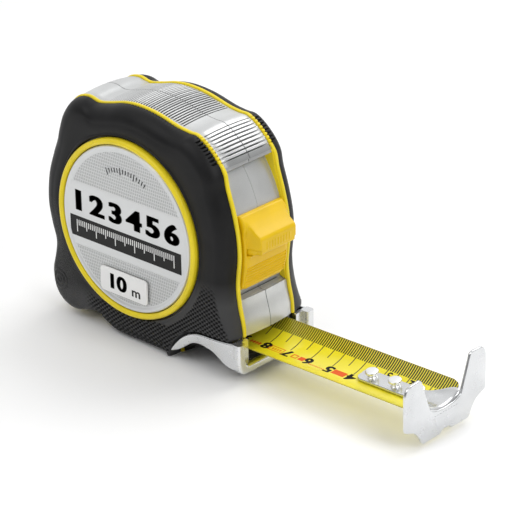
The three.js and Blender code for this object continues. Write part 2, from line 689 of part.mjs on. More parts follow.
const nearHalf = geometryOf(caseHalf(false));
const farHalf = mirrored(geometryOf(caseHalf(true)));
const trim = geometryOf(trimRing());
const ring = geometryOf(dialRing());
const plate = geometryOf(lengthPlate());
const discNear = geometryOf(dialDisc(false));
const discFar = mirrored(geometryOf(dialDisc(true)));

tape.add(
  node('case_shell_near', nearHalf, material.silver),
  node('case_shell_far', farHalf, material.silver),
  node('trim_near', trim, material.yellow),
  node('trim_far', mirrored(trim), material.yellow),
  node('grip_near', gripCover(false), material.rubber),
  node('grip_far', mirrored(geometryOf(gripCover(true))), material.rubber),
  node('dial_ring_near', ring, material.yellow),
  node('dial_ring_far', mirrored(ring), material.yellow),
  node('dial_disc_near', discNear, material.silver),
  node('dial_disc_far', discFar, material.silver),
  node('length_plate', plate, material.white),
  node('mouth_bracket', mouthBracket(), material.chrome),
  node('mouth_guide', mouthGuide(), material.black),
  node('belt_clip', beltClip(), material.steel),
  node('clip_screw', clipScrew(), material.steel),
  node('axle_post', axlePost(), material.steel),
  node('spool_drum', spoolDrum(), material.black),
  node('drum_cap', drumCap(), material.black),
  node('power_spring', powerSpring(), material.steel),
  node('blade_coil', bladeCoil(), material.yellow),
  node('lock_button', lockButton(), material.yellow),
  node('lock_carrier', lockCarrier(), material.black),
  node('lock_pad', lockPad(), material.rubber),
  node('lock_spring', lockSpring(), material.steel),
);
screwPlaces.forEach((place, i) => {
  tape.add(node(`case_screw_${i + 1}`, caseScrew(place), material.steel));
});

const strip = new THREE.Group();
strip.position.set(bladeTip, 0, mouthLine + (bladeTip - caseNose) * Math.tan(bladeTilt));
strip.rotation.y = -bladeTilt;
strip.add(node('blade', bladeStrip(), material.yellow), node('end_hook', endHook(), material.chrome));
rivetPlaces.forEach((x, i) => {
  strip.add(node(`hook_rivet_${i + 1}`, hookRivet(x), material.steel));
});
tape.add(strip);

export default tape;
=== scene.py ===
"""Pocket tape measure with a sliding lock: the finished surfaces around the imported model.

Lengths are in millimetres until a mesh is made. X is the way the blade comes out, Y is away
from the labelled side, Z is up, and the origin is on the sole below the spool's axle.
"""
import json
import math

import bmesh
import bpy
import numpy as np
from mathutils import Matrix, Vector


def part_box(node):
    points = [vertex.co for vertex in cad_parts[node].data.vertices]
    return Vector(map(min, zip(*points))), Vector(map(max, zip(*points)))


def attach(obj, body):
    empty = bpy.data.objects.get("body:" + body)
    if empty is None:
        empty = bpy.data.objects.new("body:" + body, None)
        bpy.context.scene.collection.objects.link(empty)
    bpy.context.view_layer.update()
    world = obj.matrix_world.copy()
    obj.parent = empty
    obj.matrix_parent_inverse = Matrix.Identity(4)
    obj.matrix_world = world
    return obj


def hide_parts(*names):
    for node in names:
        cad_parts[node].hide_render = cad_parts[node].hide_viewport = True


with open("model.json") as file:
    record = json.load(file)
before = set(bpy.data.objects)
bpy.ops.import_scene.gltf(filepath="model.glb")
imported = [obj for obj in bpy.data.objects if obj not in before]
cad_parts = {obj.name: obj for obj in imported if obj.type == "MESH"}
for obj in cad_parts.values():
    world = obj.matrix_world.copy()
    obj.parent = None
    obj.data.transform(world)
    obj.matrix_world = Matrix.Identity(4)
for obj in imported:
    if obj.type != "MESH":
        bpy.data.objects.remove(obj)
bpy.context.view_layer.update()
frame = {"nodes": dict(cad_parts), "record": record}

MM = 0.001


def node_box(node):
    """Lowest and highest corner of a CAD node, in millimetres."""
    low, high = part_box(node)
    return np.array(low) / MM, np.array(high) / MM


JOINTS = {joint["name"]: joint for joint in frame["record"]["behaviour"]["joints"]}
SHELL_LOW, SHELL_HIGH = node_box("case_shell_near")
TRIM_LOW, TRIM_HIGH = node_box("trim_near")
GRIP_LOW, _ = node_box("grip_near")
RING_LOW, RING_HIGH = node_box("dial_ring_near")
DISC_LOW, DISC_HIGH = node_box("dial_disc_near")

AXLE = JOINTS["spool_spin"]["pos_m"][2] / MM  # height of the axle above the sole
FRONT = SHELL_HIGH[0] / 1.041  # the nose stands a little beyond the belly
REAR = -SHELL_LOW[0]
CROWN = SHELL_HIGH[2] - AXLE
BAND = -TRIM_HIGH[1] - 0.3  # half width of the silver band
BEAD = -TRIM_LOW[1]  # outer side of the bead
SIDE = -GRIP_LOW[1]  # outer face of the rubber
DIAL = RING_HIGH[0]  # outer radius of the dial ring
DISC_FACE = -DISC_LOW[1]  # outer face of the dial disc's rim
DISC_SINK = 0.42  # of the disc's flat below its rim
MOUTH_FRONT = node_box("mouth_bracket")[1][0]
TRACK_X = JOINTS["lock_slide"]["pos_m"][0] / MM  # centre that the lock swings about
TRACK = FRONT - TRACK_X - 0.6
SLIDE = np.array(JOINTS["blade_slide"]["axis"])
TILT = math.atan2(SLIDE[2], SLIDE[0])
ROLL = math.radians(8)
BLADE_WIDTH = 25.0  # along its curved section
BLADE_RADIUS = 20.6  # of the section, at its hollow face
BLADE_LOW, BLADE_HIGH = node_box("blade")
BLADE_TIP = BLADE_HIGH[0]
SCALE_ZERO = 0.8  # the hook's inner face, ahead of the blade's tip, where the scale starts


# ------------------------------------------------------------------ mesh helpers
def surface(name, grid, wrap_rows=False, uv=None, sharp=35):
    """A mesh from a grid of points, rows by columns: each four neighbours make a face.

    Each row is a closed loop. wrap_rows joins the last row to the first. Without it, one face
    closes each end.
    """
    rows, columns = grid.shape[:2]
    index = np.arange(rows * columns).reshape(rows, columns)
    down = np.roll(index, -1, 0) if wrap_rows else index[1:]
    here = index if wrap_rows else index[:-1]
    quads = np.stack([here, np.roll(here, -1, 1), np.roll(down, -1, 1), down], -1)
    faces = quads.reshape(-1, 4).tolist()
    if not wrap_rows:
        faces += [index[0, ::-1].tolist(), index[-1].tolist()]
    mesh = bpy.data.meshes.new(name)
    mesh.from_pydata((grid.reshape(-1, 3) * MM).tolist(), [], faces)
    if uv is not None:
        layer = mesh.uv_layers.new(name="print")
        corners = np.zeros(len(mesh.loops), int)
        mesh.loops.foreach_get("vertex_index", corners)
        layer.data.foreach_set("uv", uv.reshape(-1, 2)[corners].ravel())
    return settle(name, mesh, sharp)


def settle(name, mesh, sharp=35):
    """Faces turned outwards, smooth shading with sharp edges kept, and an object made."""
    work = bmesh.new()
    work.from_mesh(mesh)
    bmesh.ops.recalc_face_normals(work, faces=work.faces)
    work.to_mesh(mesh)
    work.free()
    mesh.polygons.foreach_set("use_smooth", np.ones(len(mesh.polygons), bool))
    mesh.set_sharp_from_angle(angle=math.radians(sharp))
    piece = bpy.data.objects.new(name, mesh)
    bpy.context.scene.collection.objects.link(piece)
    return piece


def joined(name, pieces):
    """Several pieces made into one mesh object."""
    work = bmesh.new()
    for piece in pieces:
        work.from_mesh(piece.data)
        bpy.data.objects.remove(piece)
    mesh = bpy.data.meshes.new(name)
    work.to_mesh(mesh)
    work.free()
    piece = bpy.data.objects.new(name, mesh)
    bpy.context.scene.collection.objects.link(piece)
    return piece


def place(piece, body, slot, look, *nodes):
    """Gives a piece its body and its finish, and hides the nodes it stands for. The slot is not
    used.
    """
    piece.data.materials.clear()
    piece.data.materials.append(look)
    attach(piece, body)
    if nodes:
        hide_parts(*nodes)
    return piece


def smooth(value, low, high):
    """0 below low, 1 above high, with a soft S between them."""
    t = np.clip((value - low) / (high - low), 0, 1)
    return t * t * (3 - 2 * t)


def displaced(grid, amount):
    """A grid of closed rings moved along its normals, found from its neighbours' differences."""
    along = np.roll(grid, -1, 0) - np.roll(grid, 1, 0)
    normal = np.cross(along, np.gradient(grid, axis=1))
    normal /= np.linalg.norm(normal, axis=-1, keepdims=True) + 1e-12
    return grid + normal * amount[..., None]


def rounded_box(width, height, radius, steps=5):
    """A rectangle with round corners, as points (a, b) around its own middle."""
    turn = np.linspace(0, math.pi / 2, steps)
    loops = []
    for k, (sx, sy) in enumerate([(1, 1), (-1, 1), (-1, -1), (1, -1)]):
        a = sx * (width / 2 - radius) + radius * np.cos(turn + k * math.pi / 2)
        b = sy * (height / 2 - radius) + radius * np.sin(turn + k * math.pi / 2)
        loops.append(np.stack([a, b], -1))
    return np.concatenate(loops)


def catmull_rom(points, per_span=24):
    """Uniform Catmull-Rom curve through the points, whose ends are doubled."""
    p = np.vstack([points[:1], points, points[-1:]])
    t = np.linspace(0, 1, per_span, endpoint=False)[None, :, None]
    p0, p1, p2, p3 = (p[i:len(p) - 3 + i, None] for i in range(4))
    v0, v1 = (p2 - p0) / 2, (p3 - p1) / 2
    curve = (2 * p1 - 2 * p2 + v0 + v1) * t**3 + (3 * p2 - 3 * p1 - 2 * v0 - v1) * t**2
    return np.vstack([(curve + v0 * t + p1).reshape(-1, points.shape[1]), points[-1:]])


def rounded_path(points, radius, closed=False, steps=5):
    """A polyline with its corners rounded: each corner p becomes the quadratic curve
    (1-t)^2 a + 2t(1-t) p + t^2 b, whose ends a and b lie up to radius along the two sides."""
    p = np.array(points, float)
    before, after = np.roll(p, 1, 0) - p, np.roll(p, -1, 0) - p
    far_before = np.linalg.norm(before, axis=1, keepdims=True)
    far_after = np.linalg.norm(after, axis=1, keepdims=True)
    cut = np.minimum(np.minimum(far_before, far_after) * 0.45, np.reshape(radius, (-1, 1)))
    a, b = p + before / far_before * cut, p + after / far_after * cut
    t = np.linspace(0, 1, steps)[None, :, None]
    curve = (1 - t) ** 2 * a[:, None] + 2 * t * (1 - t) * p[:, None] + t**2 * b[:, None]
    if closed:
        return curve.reshape(-1, p.shape[1])
    return np.vstack([p[:1], curve[1:-1].reshape(-1, p.shape[1]), p[-1:]])


def resampled(points, count):
    """The same polyline with count points, evenly spaced along it."""
    far = np.concatenate([[0], np.cumsum(np.linalg.norm(np.diff(points, axis=0), axis=1))])
    want = np.linspace(0, far[-1], count)
    return np.stack([np.interp(want, far, axis) for axis in points.T], -1)


def strip_between(inner, outer, low, high, round_by, steps=5):
    """A bar between two plane curves and two depths: at each place along them a rectangle
    with round corners, given as shares across (inner to outer) and a depth."""
    wide = np.linalg.norm(outer - inner, axis=1)[:, None]
    deep = high - low
    edge_a = np.minimum(round_by / wide, 0.45)
    edge_b = min(round_by / deep, 0.45)
    unit = rounded_unit(steps)
    share = 0.5 + unit[None, :, 0] * (0.5 - edge_a) + unit[None, :, 2] * edge_a
    depth = low + deep * (0.5 + unit[None, :, 1] * (0.5 - edge_b) + unit[None, :, 3] * edge_b)
    flat = inner[:, None] + (outer - inner)[:, None] * share[..., None]
    return flat, np.broadcast_to(depth, share.shape)


def rounded_unit(steps=5):
    """A square's corners with a quarter circle at each: (corner a, corner b, cos, sin)."""
    turn = np.linspace(0, math.pi / 2, steps)
    parts = []
    for k, (sa, sb) in enumerate([(1, 1), (-1, 1), (-1, -1), (1, -1)]):
        angle = turn + k * math.pi / 2
        parts.append(np.stack([0 * turn + sa, 0 * turn + sb, np.cos(angle), np.sin(angle)], -1))
    return np.concatenate(parts)


# ------------------------------------------------------------------ case outline
# Shares of the reach on each side of the axle, anticlockwise from the sole's front end.
# The band's belly rises behind the mouth; the rubber's front edge follows the chrome arm.
RAISED_BELLY = [[0.4, -1], [0.47, -0.955], [0.56, -0.893], [0.7, -0.87], [0.86, -0.868],
                [0.98, -0.882], [1.032, -0.857], [1.041, -0.745], [1.035, -0.564]]
ALL_ROUND = [
    [0.994, -0.394], [0.979, -0.223], [1, 0], [0.99, 0.183], [0.948, 0.377],
    [0.895, 0.55], [0.87, 0.668], [0.81, 0.765], [0.711, 0.86], [0.619, 0.912],
    [0.536, 0.916], [0.412, 0.933], [0.206, 0.983], [0.02, 1], [-0.13, 0.987],
    [-0.283, 0.948], [-0.424, 0.92], [-0.543, 0.94], [-0.663, 0.905], [-0.761, 0.797],
    [-0.817, 0.668], [-0.852, 0.55], [-0.909, 0.41], [-0.974, 0.216], [-1, -0.021],
    [-0.97, -0.213], [-0.926, -0.372], [-0.939, -0.5], [-0.974, -0.66], [-0.948, -0.819],
    [-0.859, -0.919], [-0.728, -0.955], [-0.587, -0.919], [-0.457, -0.9], [-0.326, -0.962],
    [-0.217, -1]]

# The chrome arm's edges: distance behind the mouth frame's back, height above the sole.
NOSE = SHELL_HIGH[0] + 0.6
ARM_TOP = np.array([[31.1, 4.1], [29.4, 6.5], [27.2, 9], [25, 11], [22.4, 12.8], [19.5, 14.1],
                    [16.1, 14.9], [10.1, 15.2], [6.1, 15.5], [0, 16.2], [-2.8, 16.3]])
ARM_FOOT = np.array([[29.7, 4], [27.3, 5.1], [25.1, 6.5], [22.6, 8.4], [20, 10.1], [17.5, 10.8],
                     [15, 10.9], [12.5, 10.5], [10.1, 10], [8.1, 9.1], [6.4, 8.1], [4.8, 7.1],
                     [3.1, 6.3], [0, 5.9], [-2.8, 6.4]])


class Outline:
    """A closed curve around the case, in (x, z above the axle), measured along its run."""

    def __init__(self, shares):
        shares = np.array(shares)
        ends = shares * np.where(shares > 0, [FRONT, CROWN], [REAR, AXLE])
        self.curve = np.vstack([catmull_rom(ends), ends[:1]])
        steps = np.linalg.norm(np.diff(self.curve, axis=0), axis=1)
        self.run = np.concatenate([[0], np.cumsum(steps)])
        self.around = self.run[-1]

    def at(self, run):
        run = np.mod(run, self.around)
        return np.stack([np.interp(run, self.run, self.curve[:, axis]) for axis in (0, 1)], -1)

    def outward(self, run):
        """Unit normals, from points half a millimetre to each side."""
        along = self.at(run + 0.5) - self.at(run - 0.5)
        along /= np.linalg.norm(along, axis=-1, keepdims=True)
        return np.stack([along[:, 1], -along[:, 0]], -1)

    def nearest(self, x, z):
        """The distance along the curve of its point nearest to (x, z above the axle)."""
        return self.run[np.argmin(np.hypot(self.curve[:, 0] - x, self.curve[:, 1] - z))]


BODY = Outline(RAISED_BELLY + ALL_ROUND)
arm_shares = (np.array([NOSE, -AXLE]) + (ARM_TOP[:-2] + [0, 0.5]) * [-1, 1]) / [FRONT, AXLE]
COVER = Outline([[0.385, -1], [0.398, -0.95]] + arm_shares[1:].tolist()
                + [[1.03, -0.66], [1.032, -0.564]] + ALL_ROUND)

WINDOW_TOP = BODY.nearest(42.1, 32.7)
WINDOW_FOOT = BODY.nearest(48.2, -17.0)
MOUTH_EDGE = BODY.nearest(50.4, -30.6)
REAR_END = BODY.nearest(-46, -37)
COARSE_START = BODY.nearest(31.5, 42.0)
FINE_START = BODY.nearest(21.6, 43.0)
FINE_END = BODY.nearest(-19.0, 43.0)
FINE_PITCH = 1.25
COARSE_FOOT = WINDOW_TOP + 2.2  # where the flat bar above the window ends
COARSE_PITCH = (COARSE_START - COARSE_FOOT) / 8


def coarse_ribs(run):
    """Rounded steps between the shoulder and the window: a sawtooth with soft edges."""
    phase = np.mod((run - COARSE_FOOT) / COARSE_PITCH, 1)
    inside = smooth(run, COARSE_FOOT - 0.6, COARSE_FOOT + 0.2)
    inside = inside * (1 - smooth(run, COARSE_START - 0.3, COARSE_START + 0.3))
    tooth = smooth(phase, 0.0, 0.26) * (1 - smooth(phase, 0.8, 1.0))
    return inside * (0.8 * tooth - 0.8)


def fine_ribs(run):
    """Narrow grooves across the crown, faint at the rear and deeper towards the front."""
    phase = np.mod((run - FINE_START) / FINE_PITCH, 1)
    groove = np.clip(1 - np.abs(phase - 0.5) / 0.3, 0, 1)
    depth = 0.15 + 0.35 * smooth(-run, -BODY.nearest(-8, 45), -BODY.nearest(8, 45))
    inside = smooth(run, FINE_START, FINE_START + 0.3)
    inside = inside * (1 - smooth(run, FINE_END - 6, FINE_END))
    return -groove * depth * inside


# ------------------------------------------------------------------ shader maths
class Value:
    """A shader socket that takes part in Python arithmetic by adding Math nodes."""

    def __init__(self, finish, socket):
        self.finish, self.socket = finish, socket

    def math(self, operation, *others):
        inputs = dict(enumerate((self, *others)))
        return self.finish.node("Math", {"operation": operation}, inputs)

    def __add__(self, other): return self.math("ADD", other)
    def __sub__(self, other): return self.math("SUBTRACT", other)
    def __mul__(self, other): return self.math("MULTIPLY", other)
    def __truediv__(self, other): return self.math("DIVIDE", other)
    def __pow__(self, other): return self.math("POWER", other)
    def __lt__(self, other): return self.math("LESS_THAN", other)
    def __gt__(self, other): return self.math("GREATER_THAN", other)
    def __rsub__(self, other): return (self * -1) + other
    def __abs__(self): return self.math("ABSOLUTE")
    __radd__ = __add__
    __rmul__ = __mul__

    def wave(self, pitch):
        """Distance from the middle of each repeat of pitch, from -0.5 to 0.5."""
        return (self / pitch).math("FLOORED_MODULO", 1.0) - 0.5

    def between(self, low, high):
        return (self > low) * (self < high)

    def ramp(self, low, high):
        """0 below low and 1 above high, straight between."""
        return self.finish.node("MapRange", {}, {0: self, 1: low, 2: high})


class Finish:
    """A material: constants go on the shader's own sockets, and node() makes the rest."""

    def __init__(self, name, color, **constants):
        self.material = bpy.data.materials.new(name)
        self.material.use_nodes = True
        self.tree = self.material.node_tree
        self.shader = self.tree.nodes["Principled BSDF"]
        self.shader.inputs["Base Color"].default_value = (*color, 1)
        for name_, value in constants.items():
            self.shader.inputs[name_.replace("_", " ")].default_value = value

    def node(self, kind, settings=None, inputs=None, output=0):
        """Any node: its settings, then its sockets' values or links."""
        made = self.tree.nodes.new("ShaderNode" + kind)
        for key, value in (settings or {}).items():
            setattr(made, key, value)
        for key, value in (inputs or {}).items():
            if isinstance(value, Value):
                self.tree.links.new(value.socket, made.inputs[key])
            else:
                made.inputs[key].default_value = value
        return Value(self, made.outputs[output])

    def feed(self, socket, value):
        self.tree.links.new(value.socket, self.shader.inputs[socket])
        return self

    def spot(self):
        """Object coordinates in millimetres, as three values."""
        place_ = self.node("TexCoord", output=3)
        scaled = self.node("VectorMath", {"operation": "SCALE"}, {0: place_, "Scale": 1000.0})
        return [self.node("SeparateXYZ", {}, {0: scaled}, axis) for axis in range(3)]

    def noise(self, scale, detail=3.0, rough=0.5):
        """Noise on Object coordinates; scale is repeats per metre."""
        place_ = self.node("TexCoord", output=3)
        inputs = {"Vector": place_, "Scale": scale, "Detail": detail, "Roughness": rough}
        return self.node("TexNoise", {}, inputs)

    def mix(self, factor, a, b):
        """Colour a where factor is 0 and b where it is 1."""
        inputs = {0: factor, 6: a, 7: b}
        inputs = {k: (*v, 1) if isinstance(v, tuple) else v for k, v in inputs.items()}
        return self.node("Mix", {"data_type": "RGBA"}, inputs, 2)

    def bump(self, height, distance=0.0001, strength=1.0):
        """Feeds Normal with a bump of the given height in metres."""
        inputs = {"Height": height, "Distance": distance, "Strength": strength}
        return self.feed("Normal", self.node("Bump", {}, inputs))


def silver_finish(name="silver_paint", groove_shade_and_seam=False):
    """Metallic silver paint over plastic: a fine sparkle and soft cloudiness. When asked for, the
    UV map (distance along the outline, distance across) places painted shade in the fine grooves,
    at the coarse ribs' steps and on the lip above the window, and darkens the seam's joint line."""
    finish = Finish(name, (0.6, 0.61, 0.61), Metallic=0.6, Roughness=0.32)
    fleck = finish.noise(9000, 2.0)
    cloud = finish.noise(60, 2.0)
    tone = (fleck * 0.5 + cloud * 0.5).ramp(0.35, 0.65)
    paint = finish.mix(tone, (0.5, 0.51, 0.51), (0.68, 0.69, 0.69))
    if groove_shade_and_seam:
        place_ = finish.node("UVMap", {"uv_map": "print"})
        run = finish.node("SeparateXYZ", {}, {0: place_}, 0)
        across = finish.node("SeparateXYZ", {}, {0: place_}, 1)
        # Painted shade: the fine grooves are darkened in the colour.
        fine = abs((run - FINE_START).wave(FINE_PITCH)).ramp(0.3, 0.16)
        fine = fine * run.between(FINE_START, FINE_END - 3)
        fine = fine * (run.ramp(FINE_END - 2, BODY.nearest(0, 46)) * 0.8 + 0.15)
        # Painted shade: the step of each coarse rib is darkened in the colour.
        coarse = abs((run - COARSE_FOOT + 0.04 * COARSE_PITCH).wave(COARSE_PITCH))
        coarse = coarse.ramp(0.34, 0.44) * run.between(COARSE_FOOT - 0.5, COARSE_START + 0.3)
        seam = abs(across).ramp(0.2, 0.1) * 0.7
        # Painted shadow on the lip above the window, where the track runs under the ribbed cover.
        shelf_shadow = run.between(WINDOW_TOP - 1, COARSE_FOOT) * 0.45
        # One mask: the painted shade of grooves, rib steps and lip, and the seam's dark joint
        # line.
        dark = fine.math("MAXIMUM", coarse * 0.92).math("MAXIMUM", shelf_shadow).math("MAXIMUM", seam)
        paint = finish.mix(dark, paint, (0.045, 0.045, 0.045))
    finish.feed("Base Color", paint)
    finish.feed("Roughness", cloud.ramp(0.3, 0.7) * 0.1 + 0.28)
    finish.bump(fleck, 0.00002, 0.5)
    return finish.material


def yellow_finish(name, color, roughness):
    """Moulded plastic with faint mottling in its colour and its gloss."""
    finish = Finish(name, color, Roughness=roughness, Coat_Weight=0.05, Specular_IOR_Level=0.3)
    cloud = finish.noise(120, 3.0)
    deep = tuple(channel * 0.9 for channel in color)
    finish.feed("Base Color", finish.mix(cloud.ramp(0.3, 0.7), deep, color))
    finish.feed("Roughness", cloud * 0.08 + (roughness - 0.04))
    finish.bump(finish.noise(4000, 2.0), 0.00001, 0.4)
    return finish.material


def rubber_finish():
    """Black overmould: satin, a fine grain, painted shade in the knurl's recesses and notches (an
    attribute of the covers) with a painted sheen on the scales between them, and a wormy patch low
    at the rear."""
    finish = Finish("satin_rubber", (0.007, 0.007, 0.008), Roughness=0.5, Specular_IOR_Level=0.22)
    x, _, z = finish.spot()
    grain = finish.noise(2600, 4.0, 0.6)
    cloud = finish.noise(90, 2.0)
    recess_shade = finish.node("Attribute", {"attribute_name": "recess_shade"}, {}, 2)
    plain = finish.mix(cloud.ramp(0.3, 0.7), (0.005, 0.005, 0.0055), (0.009, 0.009, 0.0095))
    knurled = z.ramp(AXLE - 9, AXLE - 18) * x.ramp(-14, -8) + z.ramp(AXLE - 30, AXLE - 36)
    # Painted sheen: the scale tops between the recesses are lightened in the colour.
    scales = (1 - recess_shade).ramp(0.55, 0.95) * knurled.ramp(0.0, 1.0) * 0.8
    scale_sheen_and_worm_patch = finish.mix(scales, plain, (0.06, 0.06, 0.061))
    worm = abs(finish.noise(1300, 1.0) - 0.5).ramp(0.0, 0.08)
    low = z.ramp(AXLE + 2, AXLE - 8) * x.ramp(-24, -32)
    scale_sheen_and_worm_patch = finish.mix(worm * low * 0.7, scale_sheen_and_worm_patch, (0.05, 0.05, 0.05))
    # Painted shade: the knurl's recesses and the notches are darkened in the colour.
    finish.feed("Base Color", finish.mix(recess_shade, scale_sheen_and_worm_patch, (0.003, 0.003, 0.003)))
    finish.feed("Roughness", cloud * 0.12 + 0.4 + recess_shade * 0.3)
    height = grain * 0.00001 + worm * low * 0.00022
    finish.bump(height, 1.0, 1.0)
    return finish.material


def rivet_finish():
    """Bright plating, a little blurred, with a faint haze that varies."""
    dull = 0.3
    finish = Finish("rivet_chrome", (0.86, 0.87, 0.88), Metallic=1.0, Roughness=dull)
    haze = finish.noise(140, 3.0)
    finish.feed("Roughness", haze.ramp(0.35, 0.75) * 0.1 + dull)
    finish.bump(finish.noise(900, 2.0), 0.000001, 0.3)
    return finish.material


def steel_finish():
    """Plain steel brushed along X."""
    finish = Finish("brushed_steel", (0.58, 0.58, 0.57), Metallic=1.0, Roughness=0.3)
    place_ = finish.node("TexCoord", output=3)
    long = finish.node("Mapping", {}, {"Vector": place_, "Scale": (60.0, 4000.0, 4000.0)})
    streak = finish.node("TexNoise", {}, {"Vector": long, "Scale": 1.0, "Detail": 3.0})
    finish.feed("Roughness", streak * 0.25 + 0.2)
    finish.bump(streak, 0.00001, 0.5)
    return finish.material


def black_finish():
    """Plain black moulding with a faint grain."""
    finish = Finish("black_moulding", (0.02, 0.02, 0.02), Roughness=0.45)
    finish.feed("Roughness", finish.noise(200, 3.0) * 0.2 + 0.36)
    finish.bump(finish.noise(3000, 3.0), 0.00001, 0.5)
    return finish.material


def print_finish(name, color):
    """Flat ink, slightly uneven in gloss."""
    finish = Finish(name, color, Roughness=0.45, Specular_IOR_Level=0.2)
    finish.feed("Roughness", finish.noise(500, 2.0) * 0.15 + 0.38)
    return finish.material


def blade_finish():
    """Lemon lacquer printed with a metric scale; the UV map holds millimetres: distance from
    zero along the blade and distance across it. Every mark starts at the far edge."""
    finish = Finish("blade_lacquer", (0.83, 0.74, 0.03), Roughness=0.3, Coat_Weight=0.35)
    place_ = finish.node("UVMap", {"uv_map": "print"})
    along = finish.node("SeparateXYZ", {}, {0: place_}, 0)
    across = finish.node("SeparateXYZ", {}, {0: place_}, 1)
    depth = BLADE_WIDTH / 2 - across
    soft = lambda mark, half: 1 - mark.ramp(half - 0.06, half + 0.06)
    away = {pitch: abs((along + pitch / 2).wave(pitch)) * pitch for pitch in (1.0, 5.0, 10.0)}
    fine = soft(away[1.0], 0.3) * (depth < 5.8)
    middle = soft(away[5.0], 0.2) * (depth < 10.0)
    long = soft(away[10.0], 0.2) * (depth < 13.2)
    near = soft(away[10.0], 0.14) * (across < 3.6 - BLADE_WIDTH / 2) * 0.5
    marks = fine.math("MAXIMUM", middle).math("MAXIMUM", long).math("MAXIMUM", near)
    marks = marks * (along > 0.6) * (depth > 0.15)
    cloud = finish.noise(70, 2.0)
    lemon = finish.mix(cloud.ramp(0.3, 0.7), (0.79, 0.68, 0.012), (0.86, 0.76, 0.025))
    edge = (abs(across) > BLADE_WIDTH / 2 - 0.3) * 0.6
    lemon = finish.mix(edge, lemon, (0.3, 0.27, 0.08))
    finish.feed("Base Color", finish.mix(marks, lemon, (0.025, 0.022, 0.01)))
    finish.feed("Roughness", cloud * 0.1 + 0.24)
    finish.feed("Coat Weight", (1 - marks) * 0.3)
    finish.bump(finish.noise(1500, 2.0) * 0.000004 + marks * 0.000012, 1.0, 1.0)
    return finish.material


def plate_finish():
    """Satin plating: light grey with a slow drift in tone and a very fine brushing."""
    finish = Finish("satin_chrome", (0.7, 0.71, 0.72), Metallic=1.0, Roughness=0.24)
    cloud = finish.noise(60, 2.0)
    tone = finish.mix(cloud.ramp(0.3, 0.7), (0.64, 0.65, 0.66), (0.76, 0.77, 0.78))
    finish.feed("Base Color", tone)
    finish.feed("Roughness", finish.noise(260, 3.0).ramp(0.3, 0.7) * 0.12 + 0.18)
    finish.bump(finish.noise(2500, 2.0), 0.000006, 0.4)
    return finish.material


def shell_finish():
    """The case halves: silver where they show through the mouth, black moulding low down."""
    finish = Finish("case_core", (0.5, 0.5, 0.5), Metallic=0.6, Roughness=0.4)
    _, y, z = finish.spot()
    outside = abs(y).ramp(13.8, 14.0)
    dark = outside.math("MAXIMUM", z.ramp(9.5, 8.5))
    finish.feed("Base Color", finish.mix(dark, (0.5, 0.51, 0.51), (0.02, 0.02, 0.02)))
    finish.feed("Metallic", 0.6 - dark * 0.6)
    finish.feed("Roughness", finish.noise(200, 2.0) * 0.15 + 0.35)
    finish.bump(finish.noise(3000, 2.0), 0.00001, 0.5)
    return finish.material


def dial_finish():
    """Silver disc: fine crossed hatching with a smooth band between two thin lines."""
    finish = Finish("dial_silver", (0.7, 0.71, 0.71), Metallic=0.55, Roughness=0.36)
    x, y, z = finish.spot()
    height = z - AXLE
    radius = (x * x + height * height) ** 0.5
    band_low, band_high = -13.4, 12.4
    slanted = abs((x + height * 0.12).wave(0.95)).ramp(0.12, 0.3)
    hatch = slanted * abs(height.wave(1.25)).ramp(0.42, 0.3)
    cut = hatch * (radius < 29.8) * (1 - height.between(band_low, band_high))
    line = (abs(height - band_high) < 0.28) + (abs(height - band_low) < 0.28)
    line = line * (radius < 30.2)
    finish.feed("Base Color", finish.mix(cut * 0.75, (0.66, 0.67, 0.67), (0.34, 0.35, 0.35)))
    finish.feed("Roughness", finish.noise(80, 2.0) * 0.1 + 0.3)
    finish.bump(cut * -0.00012 - line * 0.00025, 1.0, 1.0)
    return finish.material


LOOK = {
    "silver": silver_finish(),
    "band": silver_finish("silver_groove_shade_and_seam", True),
    "yellow": yellow_finish("satin_yellow", (0.86, 0.68, 0.02), 0.35),
    "button": yellow_finish("button_yellow", (0.82, 0.53, 0.001), 0.36),
    "rubber": rubber_finish(),
    "rivet": rivet_finish(),
    "steel": steel_finish(),
    "black": black_finish(),
    "ink": print_finish("black_ink", (0.012, 0.012, 0.012)),
    "white": print_finish("white_plate", (0.86, 0.86, 0.85)),
    "red": print_finish("red_ink", (0.72, 0.1, 0.01)),
    "blade": blade_finish(),
    "plate": plate_finish(),
    "shell": shell_finish(),
    "dial": dial_finish(),
}


# ------------------------------------------------------------------ case surfaces
def spread(start, stop, step):
    """Evenly spaced values from start to stop, about a step apart."""
    return np.linspace(start, stop, max(2, int(round(abs(stop - start) / step)) + 1))


def band_piece(name, start, stop, step, lift, depth_at):
    """The silver band between two places on the outline.

    Its outer face is crowned across Y, with a groove at the seam; lift(run) adds the ribs,
    and depth_at(run) is how far the inner face lies below the outer one.
    """
    run = spread(start, stop, step)
    y = np.array([-1, -0.985, -0.93, -0.8, -0.6, -0.4, -0.2, -0.06, -0.018, 0])
    y = np.concatenate([y, -y[-2::-1]]) * BAND
    crown = 0.85 * (1 - (y / BAND) ** 2) - 0.25 * (np.abs(y) > 0.98 * BAND)
    crown = crown - 0.35 * (y == 0)
    rise = crown[None] + lift(run)[:, None] * (1 - 0.9 * (y == 0))[None] + 0.3
    edge = BODY.at(run)
    normal = BODY.outward(run)
    outer = edge[:, None] + normal[:, None] * rise[..., None]
    depth = depth_at(run)[:, None, None]
    inner = (edge[:, None] - normal[:, None] * depth) + np.zeros((1, 2, 1))
    flat = np.concatenate([outer, inner], 1)
    across = np.concatenate([y, [BAND, -BAND]])
    z = np.maximum(flat[..., 1] + AXLE, 0.0)  # never below the floor
    grid = np.stack([flat[..., 0], np.broadcast_to(across, z.shape), z], -1)
    uv = np.stack([run[:, None] + 0 * across, across + 0 * run[:, None]], -1)
    return surface(name, grid, uv=uv, sharp=28)


